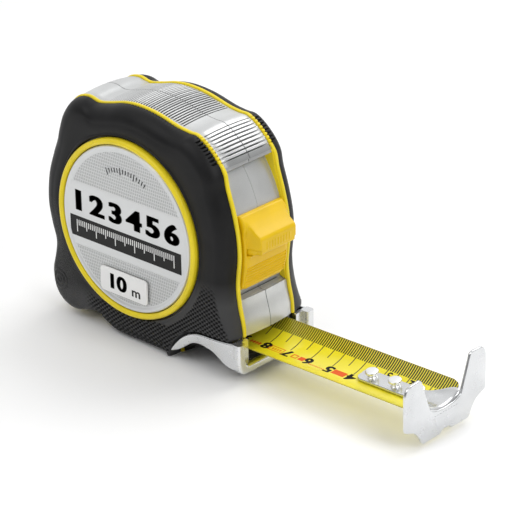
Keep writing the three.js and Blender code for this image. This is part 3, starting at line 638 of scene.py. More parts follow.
def build_band():
    """The band: silver over the top, down the rear and below the lock, black under the sole.
    It is thin, with a deeper lip above and below the window."""
    sheet = 0.6
    thin = lambda run: np.full(run.shape, sheet)
    lip = lambda run: sheet + 3.2 * (1 - smooth(run, WINDOW_TOP + 0.5, WINDOW_TOP + 2.5))
    sill = lambda run: sheet + 2.4 * smooth(run, WINDOW_FOOT - 2, WINDOW_FOOT - 0.5)
    plain = lambda run: 0 * run
    sunk = lambda run: 0 * run - 0.25
    ribs = lambda run: coarse_ribs(run) + fine_ribs(run)
    top = band_piece("band_top", WINDOW_TOP, FINE_END + 4, 0.1, ribs, lip)
    place(top, "case", "silver_plastic", LOOK["band"])
    rear = band_piece("band_rear", FINE_END + 4, REAR_END, 0.6, plain, thin)
    place(rear, "case", "silver_plastic", LOOK["band"])
    foot = band_piece("band_front", MOUTH_EDGE, WINDOW_FOOT, 0.4, plain, sill)
    place(foot, "case", "silver_plastic", LOOK["band"])
    sole = band_piece("sole_strip", REAR_END, BODY.around + MOUTH_EDGE - 8, 0.6, sunk, thin)
    place(sole, "case", "black_rubber", LOOK["rubber"])


def build_track():
    """The recessed way that the button slides on: an arc with rounded side edges."""
    angle = np.radians(spread(-19.2, 35.2, 0.8))
    half = BAND - 0.7
    y = np.sort(np.append(np.linspace(-1, 1, 31) * half, [-0.13, 0.13]))
    drop = 0.9 * (1 - np.sqrt(1 - np.clip(np.abs(y) / half, 0, 1) ** 16))
    drop = drop + 0.25 * (np.abs(y) < 0.01)  # the seam
    radius = TRACK + 0.28 - drop
    outer = np.stack([TRACK_X + radius * np.cos(angle)[:, None],
                      np.broadcast_to(y, (len(angle), len(y))),
                      AXLE + radius * np.sin(angle)[:, None]], -1)
    inside = TRACK - 1.4
    inner = np.stack([TRACK_X + inside * np.cos(angle)[:, None] + 0 * y[[-1, 0]],
                      np.broadcast_to(y[[-1, 0]], (len(angle), 2)),
                      AXLE + inside * np.sin(angle)[:, None] + 0 * y[[-1, 0]]], -1)
    track = surface("lock_track", np.concatenate([outer, inner], 1))
    place(track, "case", "silver_plastic", LOOK["silver"])


def build_trims():
    """The yellow beads: a rounded section carried from the mouth over the top to the sole.
    They follow the coarse ribs and swell along the window."""
    run = np.concatenate([spread(MOUTH_EDGE, FINE_START, 0.2)[:-1],
                          spread(FINE_START, BODY.around, 0.5)])
    section = rounded_box(BEAD - BAND - 0.25, 3.2, 0.62, 5)
    middle = (BEAD + BAND) / 2 + 0.05
    beside_window = (smooth(-run, -WINDOW_TOP - 2, -WINDOW_TOP + 2)
                     * smooth(run, MOUTH_EDGE, WINDOW_FOOT))
    lift = 0.35 + 0.4 * beside_window + coarse_ribs(run) * 0.9 - 1.3
    lift = lift[:, None] + section[None, :, 1]
    points = BODY.at(run)[:, None] + BODY.outward(run)[:, None] * lift[..., None]
    z = np.maximum(points[..., 1] + AXLE, 0.15)  # the bead never stands below the flat sole
    for side, name in ((-1, "near"), (1, "far")):
        y = np.broadcast_to(side * (middle + section[:, 0]), z.shape)
        bead = surface(f"bead_{name}", np.stack([points[..., 0], y, z], -1))
        place(bead, "case", "yellow_plastic", LOOK["yellow"], f"trim_{name}")


def build_cheeks():
    """Yellow side walls of the window, from the bead down to the track."""
    run = spread(WINDOW_FOOT, WINDOW_TOP, 0.7)
    top = BODY.at(run) + BODY.outward(run) * 0.1
    from_centre = top - np.array([TRACK_X, 0])
    reach = np.linalg.norm(from_centre, axis=1, keepdims=True)
    foot = np.array([TRACK_X, 0]) + from_centre / reach * (TRACK - 0.8)
    for side, name in ((-1, "near"), (1, "far")):
        y = side * np.array([BAND - 0.15, BAND - 0.5, BAND + 0.25, BAND + 0.25])
        x, z = np.moveaxis(np.stack([top, foot, foot, top], 1), -1, 0)
        grid = np.stack([x, np.broadcast_to(y, x.shape), z + AXLE], -1)
        cheek = surface(f"window_cheek_{name}", grid)
        place(cheek, "case", "yellow_plastic", LOOK["yellow"])


def knurl(x, z):
    """Diamond scales, 0 in the recesses and 1 on the scales: a scale's height is one minus the
    distance from its middle, measured along the two slanted directions of the pattern."""
    a = x / 2.3 + z / 1.75
    b = x / 2.3 - z / 1.75
    cell = np.abs(np.mod(a, 1) - 0.5) + np.abs(np.mod(b, 1) - 0.5)
    return smooth(1 - cell, 0.2, 0.62)


def build_grips():
    """The rubber covers: a section carried round the outline and closed behind.

    A section starts at the bead, turns over a rounded shoulder (a quarter ellipse) on to the
    side face, runs in to a low lip around the dial, and returns behind. Along the chrome arm
    the shoulder is only a small round, so that the rubber ends cleanly on the arm.
    """
    run = spread(0, COVER.around, 0.3)[:-1]
    edge = COVER.at(run)
    reach = np.linalg.norm(edge, axis=1)
    inward = -edge / reach[:, None]
    room = reach - DIAL - 0.9  # from the outline to the lip around the dial
    arm_end = COVER.nearest(50, -31.5)
    width = 1.0 + 5.2 * smooth(run, arm_end - 4, arm_end + 8)[:, None]
    round_points, face_points = 15, 51
    turn = np.linspace(0, math.pi / 2, round_points)
    shoulder_in = width * (1 - np.cos(turn)) - 0.1
    shoulder_y = BEAD + 0.1 + (SIDE - BEAD - 0.5) * np.sin(turn)
    share = np.linspace(0, 1, face_points + 1)[1:]
    face_in = shoulder_in[:, -1:] + share[None] * (room[:, None] - shoulder_in[:, -1:])
    lip = 0.45 * smooth(share, 0.86, 0.97)
    face_y = SIDE - 0.4 + 0.25 * np.sin(share * math.pi) + lip
    inset = np.concatenate([shoulder_in, face_in, room[:, None] + np.array([[0.35, 0.4, 0.2]]),
                            np.broadcast_to(np.array([3.2, 2.4]), (len(run), 2))], 1)
    back_y = [SIDE - 0.5, SIDE - 2.4, SIDE - 2.8, SIDE - 3.2, BEAD + 0.1]
    y = np.concatenate([shoulder_y, face_y, back_y])
    y = np.broadcast_to(y, inset.shape)
    flat = edge[:, None] + inward[:, None] * inset[..., None]
    grid = np.stack([flat[..., 0], -y, flat[..., 1]], -1)
    outer = (np.arange(inset.shape[1]) < round_points + face_points)[None]
    x, z = flat[..., 0], flat[..., 1]
    # Knurled low at the front, fading out near the shoulder, the dial and upwards.
    clear = smooth(inset, width - 2.0, width + 0.4)
    on_face = clear * (1 - smooth(inset, room[:, None] - 3.2, room[:, None] - 2.2))
    low_front = smooth(-z, 9, 18) * smooth(x, -14, -8)
    belly = smooth(-z, 30, 36) * smooth(x, -26, -18)
    knurled = np.maximum(low_front, belly) * np.where(z < -34, smooth(inset, 0.6, 1.6), on_face)
    scales = knurl(x, z)
    amount = 0.6 * (scales - 0.5) * knurled * outer
    # Painted shade: a mask for the knurl's recesses.
    shade = (1 - scales) * knurled * outer
    ripple = np.hypot(x + 38, z + 32)
    amount = amount + 0.16 * np.cos(ripple * 3.6) * (1 - smooth(ripple, 4.2, 5.0)) * outer
    # Short notches beside the bead, over the crown and down the shoulder.
    along = run - COVER.nearest(42.1, 32.7) + WINDOW_TOP
    crown_run = smooth(-along, -BODY.nearest(-8, 45), -BODY.nearest(4, 46))
    crown_run = crown_run * smooth(along, FINE_START - 3, FINE_START + 4)
    front_run = smooth(along, WINDOW_TOP + 1.5, WINDOW_TOP + 2.5)
    front_run = front_run * (1 - smooth(along, COARSE_START, COARSE_START + 1))
    phase = np.abs(np.mod((along - COARSE_FOOT) / COARSE_PITCH, 1) - 0.5)
    notch = (1 - smooth(phase, 0.1, 0.22)) * np.clip(0.35 * crown_run + front_run, 0, 1)
    notch_reach = BEAD + 0.7 + 1.3 * front_run[:, None]
    where = 1 - smooth(y, notch_reach, notch_reach + 0.8)
    amount = amount - 0.75 * notch[:, None] * where * outer
    grid = displaced(grid, amount)
    grid[..., 2] = np.maximum(grid[..., 2] + AXLE, 0.0)
    for side, name in ((1, "near"), (-1, "far")):
        cover = surface(f"grip_cover_{name}", grid * [1, side, 1], wrap_rows=True, sharp=40)
        # Painted shade: the mask for the recesses and notches is stored for the rubber to darken.
        recess_shade = cover.data.attributes.new("recess_shade", "FLOAT", "POINT")
        recess_shade.data.foreach_set("value", np.maximum(shade, notch[:, None] * where * outer).ravel())
        place(cover, "case", "black_rubber", LOOK["rubber"], f"grip_{name}")


def turned(name, profile, sides=160):
    """A closed profile of (radius, y) turned about the axle."""
    angle = np.linspace(0, 2 * math.pi, sides, endpoint=False)[:, None]
    radius, y = np.array(profile, float).T
    grid = np.stack([radius * np.cos(angle), y + 0 * angle, AXLE + radius * np.sin(angle)], -1)
    return surface(name, grid, wrap_rows=True)


def build_dials():
    """On each side a rounded yellow ring and a silver disc with a raised rim."""
    out = -RING_LOW[1]
    ring, dome, deep = 2.3, 1.2, 2.9  # the ring's width, its round face's height, its depth
    turn = np.linspace(0, math.pi, 13)
    middle = DIAL - ring / 2
    back = 1.6  # of the disc, below its rim's face
    # From the disc's edge to its flat: (inset from the edge, depth below the rim's face).
    steps = [(0, back), (0, 0.5), (0.35, 0.05), (0.8, 0), (1.5, 0.05), (1.9, 0.35),
             (2.2, DISC_SINK), (DISC_HIGH[0] - 1e-3, DISC_SINK), (DISC_HIGH[0] - 1e-3, back)]
    for side, name in ((-1, "near"), (1, "far")):
        arc = [(middle + ring / 2 * math.cos(t), side * (out - dome + dome * math.sin(t)))
               for t in turn]
        base = [(DIAL - ring, side * (out - deep)), (DIAL, side * (out - deep))]
        rounded = turned(f"ring_{name}", arc + base)
        place(rounded, "case", "yellow_plastic", LOOK["yellow"], f"dial_ring_{name}")
        profile = [(DISC_HIGH[0] - inset, side * (DISC_FACE - depth)) for inset, depth in steps]
        disc = turned(f"disc_{name}", profile)
        place(disc, "case", "dial_silver", LOOK["dial"], f"dial_disc_{name}")


# ------------------------------------------------------------------ blade and its print
MOUTH_LINE = 9.7  # height of the blade's lowest line as it leaves the mouth
TIP_LINE = MOUTH_LINE + (BLADE_TIP - SHELL_HIGH[0]) * math.tan(TILT)  # and at its tip


def on_blade(along, across, lift=0.0):
    """Points on the blade: along is X from the tip, across follows the curved section (radius
    R, hollow side up), and lift is the height over its hollow face. The section's point is
    (y, z) = ((R-lift) sin a, R - (R-lift) cos a), rolled about X and then tilted about Y."""
    angle = across / BLADE_RADIUS
    y = (BLADE_RADIUS - lift) * np.sin(angle)
    z = BLADE_RADIUS - (BLADE_RADIUS - lift) * np.cos(angle)
    return tip_frame(along, y, z)


def tip_frame(along, y, z, roll=ROLL):
    """From the hook's own frame (X from the blade's tip, unrolled, untilted) to the case's."""
    y, z = y * np.cos(roll) - z * np.sin(roll), y * np.sin(roll) + z * np.cos(roll)
    x = along * math.cos(TILT) - z * math.sin(TILT)
    z = along * math.sin(TILT) + z * math.cos(TILT)
    return np.stack(np.broadcast_arrays(x + BLADE_TIP, y, z + TIP_LINE), -1)


def build_blade():
    """The strip: a thin arc section, and a tip with rounded corners."""
    half = BLADE_WIDTH / 2
    top = np.linspace(-half, half, 41)
    across = np.concatenate([top, top[::-1]])
    thick = 0.25
    lift = np.concatenate([0 * top, 0 * top - thick])
    length = BLADE_TIP - BLADE_LOW[0]
    share = np.linspace(0, 1, 150)[:, None]
    corner = 3.2
    over = np.clip(np.abs(across) - (half - corner), 0, corner)
    end = -(corner - np.sqrt(corner**2 - over**2))
    along = -length + share * (length + end[None])
    grid = on_blade(along, across[None] + 0 * along, lift[None] + 0 * along)
    uv = np.stack([SCALE_ZERO - along, across[None] + 0 * along], -1)
    strip = surface("blade_strip", grid, uv=uv, sharp=50)
    place(strip, "blade", "blade_lacquer", LOOK["blade"], "blade")


def numerals(text, height, widen=1.0):
    """Figures as flat faces about their own middle: points (across, up) and faces. Widen
    stretches them across."""
    curve = bpy.data.curves.new("figures", "FONT")
    curve.body, curve.offset = text, 0.025
    probe = bpy.data.objects.new("figures", curve)
    mesh = bpy.data.meshes.new_from_object(probe)
    work = bmesh.new()
    work.from_mesh(mesh)
    bmesh.ops.remove_doubles(work, verts=work.verts, dist=1e-5)
    points = np.array([v.co[:2] for v in work.verts])
    low, high = points.min(0), points.max(0)
    scale = height / (high[1] - low[1])
    points = (points - (low + high) / 2) * scale * [widen, 1]
    faces = [[v.index for v in face.verts] for face in work.faces]
    work.free()
    bpy.data.objects.remove(probe)
    return points, faces


def patch(left, right, low, high, step=1.0):
    """A rectangle of small faces: points and faces."""
    a = np.linspace(left, right, max(2, int((right - left) / step) + 2))
    b = np.linspace(low, high, max(2, int((high - low) / step) + 2))
    points = np.stack(np.meshgrid(a, b), -1).reshape(-1, 2)
    index = np.arange(len(points)).reshape(len(b), len(a))
    quads = np.stack([index[:-1, :-1], index[:-1, 1:], index[1:, 1:], index[1:, :-1]], -1)
    return points, quads.reshape(-1, 4).tolist()


def box_outline(width, height, line):
    """Four thin rectangles around an empty box."""
    w, h = width / 2, height / 2
    return [patch(-w, w, h - line, h), patch(-w, w, -h, -h + line),
            patch(-w, -w + line, -h, h), patch(w - line, w, -h, h)]


def printed(name, shapes, lay, body, slot, look, grain=None):
    """Thin ink on a surface. shapes are (points, faces, (across, up), turn); lay maps flat
    points to places on the surface; grain cuts the faces into strips so that they bend."""
    work = bmesh.new()
    for points, faces, spot, turn in shapes:
        c, s = math.cos(turn), math.sin(turn)
        moved = points @ np.array([[c, s], [-s, c]]) + spot
        made = [work.verts.new((*point, 0)) for point in moved]
        for face in faces:
            work.faces.new([made[k] for k in face])
    if grain:
        span = max(abs(v.co.y) for v in work.verts)
        for level in np.arange(-math.ceil(span), math.ceil(span), grain):
            everything = work.verts[:] + work.edges[:] + work.faces[:]
            bmesh.ops.bisect_plane(work, geom=everything, plane_co=(0, level, 0),
                                   plane_no=(0, 1, 0))
    flat = np.array([v.co[:2] for v in work.verts])
    for vert, spot in zip(work.verts, lay(flat) * MM):
        vert.co = spot
    mesh = bpy.data.meshes.new(name)
    work.to_mesh(mesh)
    work.free()
    piece = bpy.data.objects.new(name, mesh)
    bpy.context.scene.collection.objects.link(piece)
    skin = piece.modifiers.new("thickness", "SOLIDIFY")
    skin.thickness, skin.offset = 0.00003, -1
    return place(piece, body, slot, look)


def build_scale_print():
    """Figures 9 to 1 along the blade, with plain red boxes and rows of dashes between them.

    The row of large figures and red marks is below the middle; figures 1 to 3 stand beyond
    the hook's tongue. A place is its distance from the scale's zero.
    """
    row, small_row = -3.3, 4.7
    shift, small_shift = 0.6, 1.9  # towards the tip, from the figure's own line
    black, red = [], []
    for figure in range(1, 10):
        small = figure < 4
        along = SCALE_ZERO - 10.0 * figure + (small_shift if small else shift)
        points, faces = numerals(str(figure), 3.3 if small else 4.8, widen=1.05)
        for strike in (0,) if small else (-0.2, 0, 0.2):
            black.append((points, faces, (along + strike, small_row if small else row), math.pi))

    def mark(shapes, distance, below=0.0):
        spot = (SCALE_ZERO + shift - distance, row - below)
        red.extend((*shape, spot, 0.0) for shape in shapes)

    def bar(across, up):
        return [patch(-across / 2, across / 2, -up / 2, up / 2)]

    mark(box_outline(6.4, 3.4, 0.3), 75.0)
    for k in range(4):
        mark(bar(0.9, 1.8), 83.0 + 1.3 * k, 0.4)
        mark(bar(0.6, 1.1), 76.7 - 1.15 * k)
    mark(box_outline(2.6, 2.6, 0.45), 66.2)
    mark(bar(2.6, 2.6), 62.9)
    for k in range(9):
        mark(bar(0.5, 0.6), 51.6 + 0.85 * k, 1.3)
    mark(bar(5.8, 3.2), 45.2)
    lay = lambda flat: on_blade(flat[:, 0], flat[:, 1], 0.035)
    printed("scale_figures", black, lay, "blade", "blade_lacquer", LOOK["ink"], 0.6)
    printed("scale_boxes", red, lay, "blade", "blade_lacquer", LOOK["red"], 0.6)


# ------------------------------------------------------------------ end hook and rivets
PLATE_LIFT = 1.5  # of the plate's own zero height above the blade's lowest line
PLATE_OUT = SCALE_ZERO + 1.2  # the plate's outer face, ahead of the blade's tip


def build_hook():
    """The upright plate and the tongue, joined where the sheet bends down at the notch."""
    # Half of the plate's outline, (y, z): claw, shoulder, prong and notch.
    half = np.array([
        [2.2, -9.2], [3, -10.4], [12.8, -10.4], [14.4, -7.6], [16, -5.4], [17.6, -4.2],
        [22, -2.6], [22.5, -1.6], [22.5, 11.4], [21.6, 13.6], [20, 14.6], [14.6, 14.9],
        [13.5, 14.2], [12.4, 11], [9.6, 3.4], [8.4, 0.6], [5, -0.6]])
    radius = np.full(len(half), 0.9)
    radius[4:7] = 1.6
    corners = np.vstack([half, [[0, -1.0]], half[::-1] * [-1, 1]])
    radius = np.concatenate([radius, [0.9], radius[::-1]])
    edge = rounded_path(corners, radius, closed=True, steps=4) + [0, PLATE_LIFT]
    # The plate's rim is rolled over both faces: rings inset by r(1-cos), moved by r sin.
    rim = 0.34
    turn = np.linspace(0, math.pi / 2, 4)
    near_ring, far_ring = rim * (1 - np.sin(turn)), rim * (1 - np.cos(turn))
    inset = np.concatenate([near_ring, far_ring])
    depth = np.concatenate([SCALE_ZERO + far_ring, PLATE_OUT - near_ring])
    before, after = np.roll(edge, 1, 0), np.roll(edge, -1, 0)
    along = (after - before) / np.linalg.norm(after - before, axis=1, keepdims=True)
    normal = np.stack([-along[:, 1], along[:, 0]], -1)
    rings = edge[None] + normal[None] * inset[:, None, None]
    plain = np.broadcast_to(depth[:, None], rings.shape[:2])
    plate = surface("plate", tip_frame(plain, rings[..., 0], rings[..., 1], 0.0), sharp=50)

    # The tongue: rows along X, each an arc across; it flares towards the plate and rolls over.
    tail, bend_start, bend_radius = -36.2, 0.3, 1.5
    run = np.linspace(tail, bend_start, 60)
    bend = np.linspace(0, math.pi / 2, 9)[1:]
    along = np.concatenate([run, bend_start + bend_radius * np.sin(bend)])
    fall = np.concatenate([0 * run, bend_radius * (1 - np.cos(bend))])[:, None]
    wide = 3.5 + 5.4 * smooth(along, -11, -0.5) ** 1.4
    end = np.clip((along - tail) / 2.2, 0, 1)
    wide = wide * np.sqrt(1 - (1 - end) ** 2 * 0.75)
    share = np.linspace(-1, 1, 25)
    y = wide[:, None] * share
    base = BLADE_RADIUS - np.sqrt((BLADE_RADIUS - 0.3) ** 2 - y**2)
    # The flare lifts its sides off the blade a little, like a shallow spoon.
    spoon = 0.7 * smooth(along, -11, -1)[:, None] * share**2
    round_edge = 0.35 * (np.abs(share) > 0.97)
    upper = base + 1.0 + spoon - round_edge - fall
    lower = base + spoon * 0.6 + round_edge * 0.4 - fall
    rows = np.broadcast_to(along[:, None], y.shape)
    under = np.where(rows > bend_start, (rows - bend_start) * 0.2 + bend_start, rows)
    x = np.concatenate([rows, under[:, ::-1]], 1)
    y = np.concatenate([y, y[:, ::-1]], 1)
    z = np.concatenate([upper, lower[:, ::-1]], 1)
    roll = ROLL * (1 - smooth(x, -10, -1))  # the plate stands level, so the roll fades out
    tongue = surface("tongue", tip_frame(x, y, z, roll), sharp=50)
    hook = joined("hook_plate_and_tongue", [plate, tongue])
    place(hook, "hook", "bright_chrome", LOOK["plate"], "end_hook")


def build_hook_bars():
    """A row of plain raised bars pressed into the plate's outer face."""
    wide, high, pitch, below = 0.45, 1.1, 1.5, -3.2
    corners = [(-wide, -high), (wide, -high), (wide, high), (-wide, high)]
    bar = rounded_path(corners, 0.3, True, 4)
    rise = np.array([0.0, 0.1, 0.16])[:, None]
    size = np.array([1.0, 0.86, 0.6])[:, None, None]
    shapes = []
    for k in range(9):
        spot = bar[None] * size + [pitch * (k - 4), below + PLATE_LIFT]
        x = np.broadcast_to(PLATE_OUT - 0.04 + rise, spot.shape[:2])
        shapes.append(surface("bar", tip_frame(x, spot[..., 0], spot[..., 1], 0.0)))
    place(joined("hook_pressed_bars", shapes), "hook", "bright_chrome", LOOK["plate"])


def build_rivets():
    """Mushroom rivets: a wide flat head with a rolled rim, a waist and a spreading foot."""
    turn = np.linspace(0, 2 * math.pi, 40, endpoint=False)
    # (radius, height, rounding) from the middle of the head down to the middle of the foot.
    steps = np.array([
        (0.001, 4.3, 0), (1.2, 4.28, 0.4), (2.42, 4.15, 0.4), (2.5, 3.35, 0.3), (1.35, 2.8, 0.3),
        (1.25, 2.1, 0.3), (1.8, 1.6, 0.1), (1.8, 1.3, 0.1), (1.5, 1.2, 0.1), (1.5, -0.6, 0.1),
        (2.1, -0.7, 0.1), (1.9, -0.93, 0.1), (0.001, -0.95, 0)])
    profile = rounded_path(steps[:, :2], steps[:, 2])
    for k in (1, 2, 3):
        low, high = node_box(f"hook_rivet_{k}")
        along = (low[0] + high[0]) / 2 - BLADE_TIP
        x = along + profile[:, :1] * np.cos(turn)
        y = profile[:, :1] * np.sin(turn)
        z = np.broadcast_to(profile[:, 1:], y.shape)
        rivet = surface(f"rivet_{k}", tip_frame(x, y, z))
        place(rivet, "blade", "plain_steel", LOOK["rivet"], f"hook_rivet_{k}")


# ------------------------------------------------------------------ mouth bracket
def u_outline(half, top, foot, radius):
    """A U from leg to leg with round corners: seven points up each leg besides the corners."""
    path = rounded_path([(half, top), (half, foot), (-half, foot), (-half, top)], radius, steps=14)
    share = np.linspace(0, 1, 8)[:, None]
    first = path[0] + (path[1] - path[0]) * share[:-1]
    last = path[-2] + (path[-1] - path[-2]) * share
    return np.vstack([first, path[1:-1], last])


def build_bracket():
    """The chrome U around the mouth, the arms that sweep from it down to the sole, and a web
    on each side that closes the corner between the U and the case."""
    half, leg, foot, bar_top, top = 20.7, 3.9, 3.7, 7.2, 16.3
    outer = u_outline(half, top, foot, 5.6)
    inner = u_outline(half - leg, top, bar_top, 2.2)
    flat, depth = strip_between(inner, outer, NOSE - 0.2, MOUTH_FRONT, 1.1, 6)
    pieces = [surface("frame", np.stack([depth, flat[..., 0], flat[..., 1]], -1), sharp=50)]
    upper = resampled(catmull_rom(ARM_TOP, 12), 70) * [-1, 1] + [NOSE, 0]
    lower = resampled(catmull_rom(ARM_FOOT, 12), 70) * [-1, 1] + [NOSE, 0]
    web = rounded_box(4.4, 12.2, 0.5) + [15.3, 10.1]
    web_x = np.broadcast_to(np.array([[NOSE - 0.6], [NOSE + 1.2]]), (2, len(web)))
    for side in (-1, 1):
        web_y = np.broadcast_to(side * web[:, 0], web_x.shape)
        web_z = np.broadcast_to(web[:, 1], web_x.shape)
        pieces.append(surface("web", np.stack([web_x, web_y, web_z], -1), sharp=50))
        flat, depth = strip_between(lower, upper, 18.7, half - 0.06, 0.7, 5)
        arm = np.stack([flat[..., 0], side * depth, flat[..., 1]], -1)
        pieces.append(surface("arm", arm, sharp=50))
    place(joined("bracket", pieces), "case", "bright_chrome", LOOK["plate"], "mouth_bracket")


# ------------------------------------------------------------------ lock button
def build_button():
    """The thumb button: a profile in (angle, radius) about the lock's centre, carried across.

    The lip fades towards the sides, where the profile is the plain back; the side edges are
    rounded, fine ribs cross the lower pad, and a square pocket is sunk under each lip end.
    """
    face = TRACK + 2.2
    # (degrees, height over the face, rounding) from the pad's foot over the lip to the top.
    steps = np.array([
        (-15.4, -1.1, 0), (-14.9, -0.2, 0.3), (-8, 0.1, 1), (-0.8, 0.3, 1.2), (0.6, 1.4, 1.0),
        (1.5, 4.8, 0.6), (2.0, 5.6, 0.5), (7.3, 6.2, 0.7), (8.3, 5.8, 0.8), (10.4, 3.5, 2.4),
        (12.8, 1.8, 2.6), (15, 0.6, 2), (16.5, -0.1, 0.5), (17, -1.1, 0)])
    profile = resampled(rounded_path(steps[:, :2] + [0, face], steps[:, 2], steps=8), 260)
    degrees, radius = profile[:, :1], profile[:, 1:]
    side = 11.5
    y = side * np.concatenate([np.linspace(-1, -0.82, 12), np.linspace(-0.8, 0.8, 41),
                               np.linspace(0.82, 1, 12)])
    off_middle = np.abs(y)
    back = face + 0.1 - 1.2 * smooth(np.abs(degrees - 1), 14.2, 16.2)
    above_lip = np.where(degrees > 7.2, smooth(-degrees, -15, -8), 1)
    fade = 1 - smooth(off_middle, 9.3, 10.6) * above_lip
    height = np.minimum(radius, back) + np.maximum(radius - back, 0) * fade
    rib = 0.5 - 0.5 * np.cos((degrees + 13.6) / 1.3 * 2 * math.pi)
    on_pad = smooth(degrees, -13.9, -13.5) * (1 - smooth(degrees, -4.8, -4.4))
    height = height - 0.45 * rib * on_pad * (off_middle < 10.4)
    bars = 0.5 + 0.5 * np.cos(y / 1.5 * 2 * math.pi)
    on_lip = smooth(degrees, 2.9, 3.3) * (1 - smooth(degrees, 5.9, 6.3))
    on_lip = on_lip * (1 - smooth(off_middle, 6.4, 6.8)) * (radius > face + 5)
    height = height + 0.22 * smooth(bars, 0.3, 0.7) * on_lip
    pocket = smooth(degrees, 0.2, 0.6) * (1 - smooth(degrees, 3.2, 3.6))
    pocket = pocket * smooth(off_middle, 8.9, 9.2) * (1 - smooth(off_middle, 10.5, 10.8))
    edge = np.clip((off_middle - (side - 0.9)) / 0.9, 0, 1)
    height = height - 1.5 * pocket - 0.9 * (1 - np.sqrt(1 - edge**2))
    inner = np.full((len(profile), 2), TRACK + 0.35)
    reach = np.concatenate([height, inner], 1)
    angle = np.radians(np.broadcast_to(degrees, reach.shape))
    across = np.broadcast_to(np.append(y, [side, -side]), reach.shape)
    x, z = TRACK_X + reach * np.cos(angle), AXLE + reach * np.sin(angle)
    button = surface("thumb_button", np.stack([x, across, z], -1), sharp=38)
    place(button, "lock", "button_yellow", LOOK["button"], "lock_button")


# ------------------------------------------------------------------ far side
def build_clip():
    """The belt clip: a spring strip with round edges, bent along a side profile."""
    foot = DISC_FACE + 0.9
    out = DISC_FACE + 5.4
    path = rounded_path([(foot, 30), (foot, 20), (out, 14.5), (out, -20), (out - 2.2, -26),
                         (out - 0.1, -30.8)], 4.0, steps=10)
    path = resampled(path, 90)
    along = np.gradient(path, axis=0)
    along /= np.linalg.norm(along, axis=1, keepdims=True)
    normal = np.stack([-along[:, 1], along[:, 0]], -1)
    ends = np.sqrt(1 - np.clip(1 - np.linspace(0, 18, 90) / 3, 0, 1) ** 2 * 0.5)
    wide = 9.0 * ends * ends[::-1]
    section = rounded_box(2, 1.2, 0.55, 5)
    x = wide[:, None] * section[None, :, 0]
    flat = path[:, None] + normal[:, None] * section[None, :, 1, None]
    grid = np.stack([x, flat[..., 0], flat[..., 1] + AXLE], -1)
    clip = surface("belt_clip_strip", grid, sharp=50)
    place(clip, "case", "plain_steel", LOOK["steel"], "belt_clip")


# ------------------------------------------------------------------ label
def build_label():
    """Print on the near disc: a curved row of ticks, figures, a black ruler and the length."""
    level = -(DISC_FACE - DISC_SINK) - 0.045
    lay = lambda flat: np.stack([flat[:, 0], 0 * flat[:, 0] + level, flat[:, 1] + AXLE], -1)
    black = []
    for k, x in enumerate(np.linspace(-24.6, 23.4, 6)):
        figure = numerals(str(k + 1), 8.2, widen=1.3)
        for strike in (-0.55, -0.2, 0.2, 0.55):
            black.append((*figure, (x + strike, 4.9), 0.0))
    arc_radius, arc_ticks = 23.2, 15
    for k in range(arc_ticks):
        turn = math.radians(112 - 50 * k / (arc_ticks - 1))
        long = 1.3 if k % 5 else 2.0
        spot = (arc_radius * math.cos(turn) - 0.4, arc_radius * math.sin(turn))
        black.append((*patch(-0.22, 0.22, -long, long * 0.4), spot, turn - math.pi / 2))
    black.append((*patch(-29.4, 27.8, -10.0, -1.7, 60), (0, 0), 0.0))
    printed("label_black", black, lay, "case", "dial_silver", LOOK["ink"])

    white = []
    for k in range(51):
        long = 5.0 if k % 10 == 0 else 3.6 if k % 5 == 0 else 2.3
        white.append((*patch(-0.2, 0.2, -long, 0), (-25.8 + k, -3.2), 0.0))
    over = lambda flat: lay(flat) - [0, 0.04, 0]
    printed("label_white", white, over, "case", "white_print", LOOK["white"])

    low, high = node_box("length_plate")
    middle = (low + high) / 2
    w, h = (high[0] - low[0]) / 2, (high[2] - low[2]) / 2
    corners = rounded_path([(-w, -h), (w, -h), (w, h), (-w, h)], 1.6, True, 7)
    size = np.array([1.0, 1.0, 0.985, 0.95])[:, None, None]
    y = np.array([high[1] + 0.25, low[1] + 0.2, low[1] + 0.05, low[1]])
    rings = corners[None] * size
    grid = np.stack([rings[..., 0] + middle[0], np.broadcast_to(y[:, None], rings.shape[:2]),
                     rings[..., 1] + middle[2]], -1)
    plate = surface("length_tag", grid, sharp=50)
    place(plate, "case", "white_print", LOOK["white"], "length_plate")
    on_tag = lambda flat: np.stack([flat[:, 0] + middle[0], 0 * flat[:, 0] + low[1] - 0.035,
                                    flat[:, 1] + middle[2]], -1)
    ten = numerals("10", 6.2, widen=1.2)
    figures = [(*numerals("m", 2.6, widen=1.2), (6.6, -1.7), 0.0)]
    figures += [(*ten, (-2.4 + strike, 0.1), 0.0) for strike in (-0.25, 0, 0.25)]
    printed("length_figures", figures, on_tag, "case", "white_print", LOOK["ink"])


# ------------------------------------------------------------------ camera and light
CAMERA_SPOT = (0.58909, -0.59546, 0.41805)  # in metres
# Rows of the camera's turn: its columns are the view's right, its up, and back to the camera.
CAMERA_TURN = Matrix(((0.7442, -0.2765, 0.6080),
                      (0.6678, 0.3238, -0.6702),
                      (-0.0116, 0.9048, 0.4256)))
BEYOND = (-0.608, 0.670, 0.426)  # away from the camera, and as far up as it looks down
LIGHT_AIM = (0.02, 0, 0.045)
LIGHTS = [  # name, spot and size in metres, power in watts
    ("front", (0.75, -0.1, 0.6), 0.5, 2.6),
    ("key", (-0.1, -0.6, 0.75), 0.6, 2.6),
    ("back", (0.1, 0.6, 0.8), 0.7, 4.2),
]


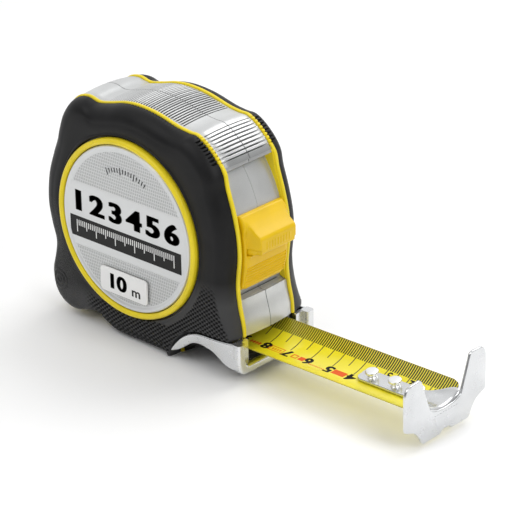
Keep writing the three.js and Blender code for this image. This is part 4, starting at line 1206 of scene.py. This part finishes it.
def build_stage():
    """A pale floor, a pale surround, soft area lights and the camera."""
    floor_mesh = bpy.data.meshes.new("floor")
    floor_mesh.from_pydata([(-4, -4, 0), (4, -4, 0), (4, 4, 0), (-4, 4, 0)], [], [(0, 1, 2, 3)])
    floor = bpy.data.objects.new("floor", floor_mesh)
    bpy.context.scene.collection.objects.link(floor)
    floor.data.materials.append(Finish("pale_floor", (0.95, 0.95, 0.95), Roughness=0.6).material)
    world = bpy.data.worlds.new("surround")
    world.use_nodes = True
    # The surround is brightest beyond the object, so that level metal shines.
    tree = world.node_tree
    spot = tree.nodes.new("ShaderNodeTexCoord")
    toward = tree.nodes.new("ShaderNodeVectorMath")
    toward.operation = "DOT_PRODUCT"
    toward.inputs[1].default_value = BEYOND
    glow = tree.nodes.new("ShaderNodeMapRange")
    reach = {"From Min": -0.1, "From Max": 0.85, "To Min": 0.26, "To Max": 0.95}
    for name, value in reach.items():
        glow.inputs[name].default_value = value
    background = tree.nodes["Background"]
    background.inputs[0].default_value = (1, 1, 1, 1)
    tree.links.new(spot.outputs["Generated"], toward.inputs[0])
    tree.links.new(toward.outputs["Value"], glow.inputs["Value"])
    tree.links.new(glow.outputs[0], background.inputs[1])
    bpy.context.scene.world = world
    for name, spot, size, power in LIGHTS:
        light = bpy.data.lights.new(name, "AREA")
        light.shape, light.size, light.energy = "SQUARE", size, power
        lamp = bpy.data.objects.new(name, light)
        lamp.location = spot
        aim = Vector(LIGHT_AIM) - Vector(spot)
        lamp.rotation_euler = aim.to_track_quat("-Z", "Y").to_euler()
        bpy.context.scene.collection.objects.link(lamp)
    camera_data = bpy.data.cameras.new("camera")
    camera_data.lens = 167.0
    camera_data.sensor_width = 36.0
    camera = bpy.data.objects.new("camera", camera_data)
    camera.matrix_world = Matrix.Translation(CAMERA_SPOT) @ CAMERA_TURN.to_4x4()
    bpy.context.scene.collection.objects.link(camera)
    bpy.context.scene.camera = camera
    bpy.context.scene.view_settings.view_transform = "Standard"


build_stage()
build_band()
build_track()
build_trims()
build_cheeks()
build_grips()
build_dials()
build_label()
build_bracket()
build_button()
build_blade()
build_scale_print()
build_hook()
build_hook_bars()
build_rivets()
build_clip()

CAD_LOOKS = {
    "shell": ("case_shell_near", "case_shell_far"),
    "steel": ("clip_screw", "axle_post", "lock_spring", "power_spring", "case_screw_1",
              "case_screw_2", "case_screw_3", "case_screw_4"),
    "black": ("spool_drum", "drum_cap", "lock_carrier"),
    "rubber": ("mouth_guide", "lock_pad"),
    "yellow": ("blade_coil",),
}
for look, nodes in CAD_LOOKS.items():
    for name in nodes:
        mesh = frame["nodes"][name].data
        mesh.materials.clear()
        mesh.materials.append(LOOK[look])
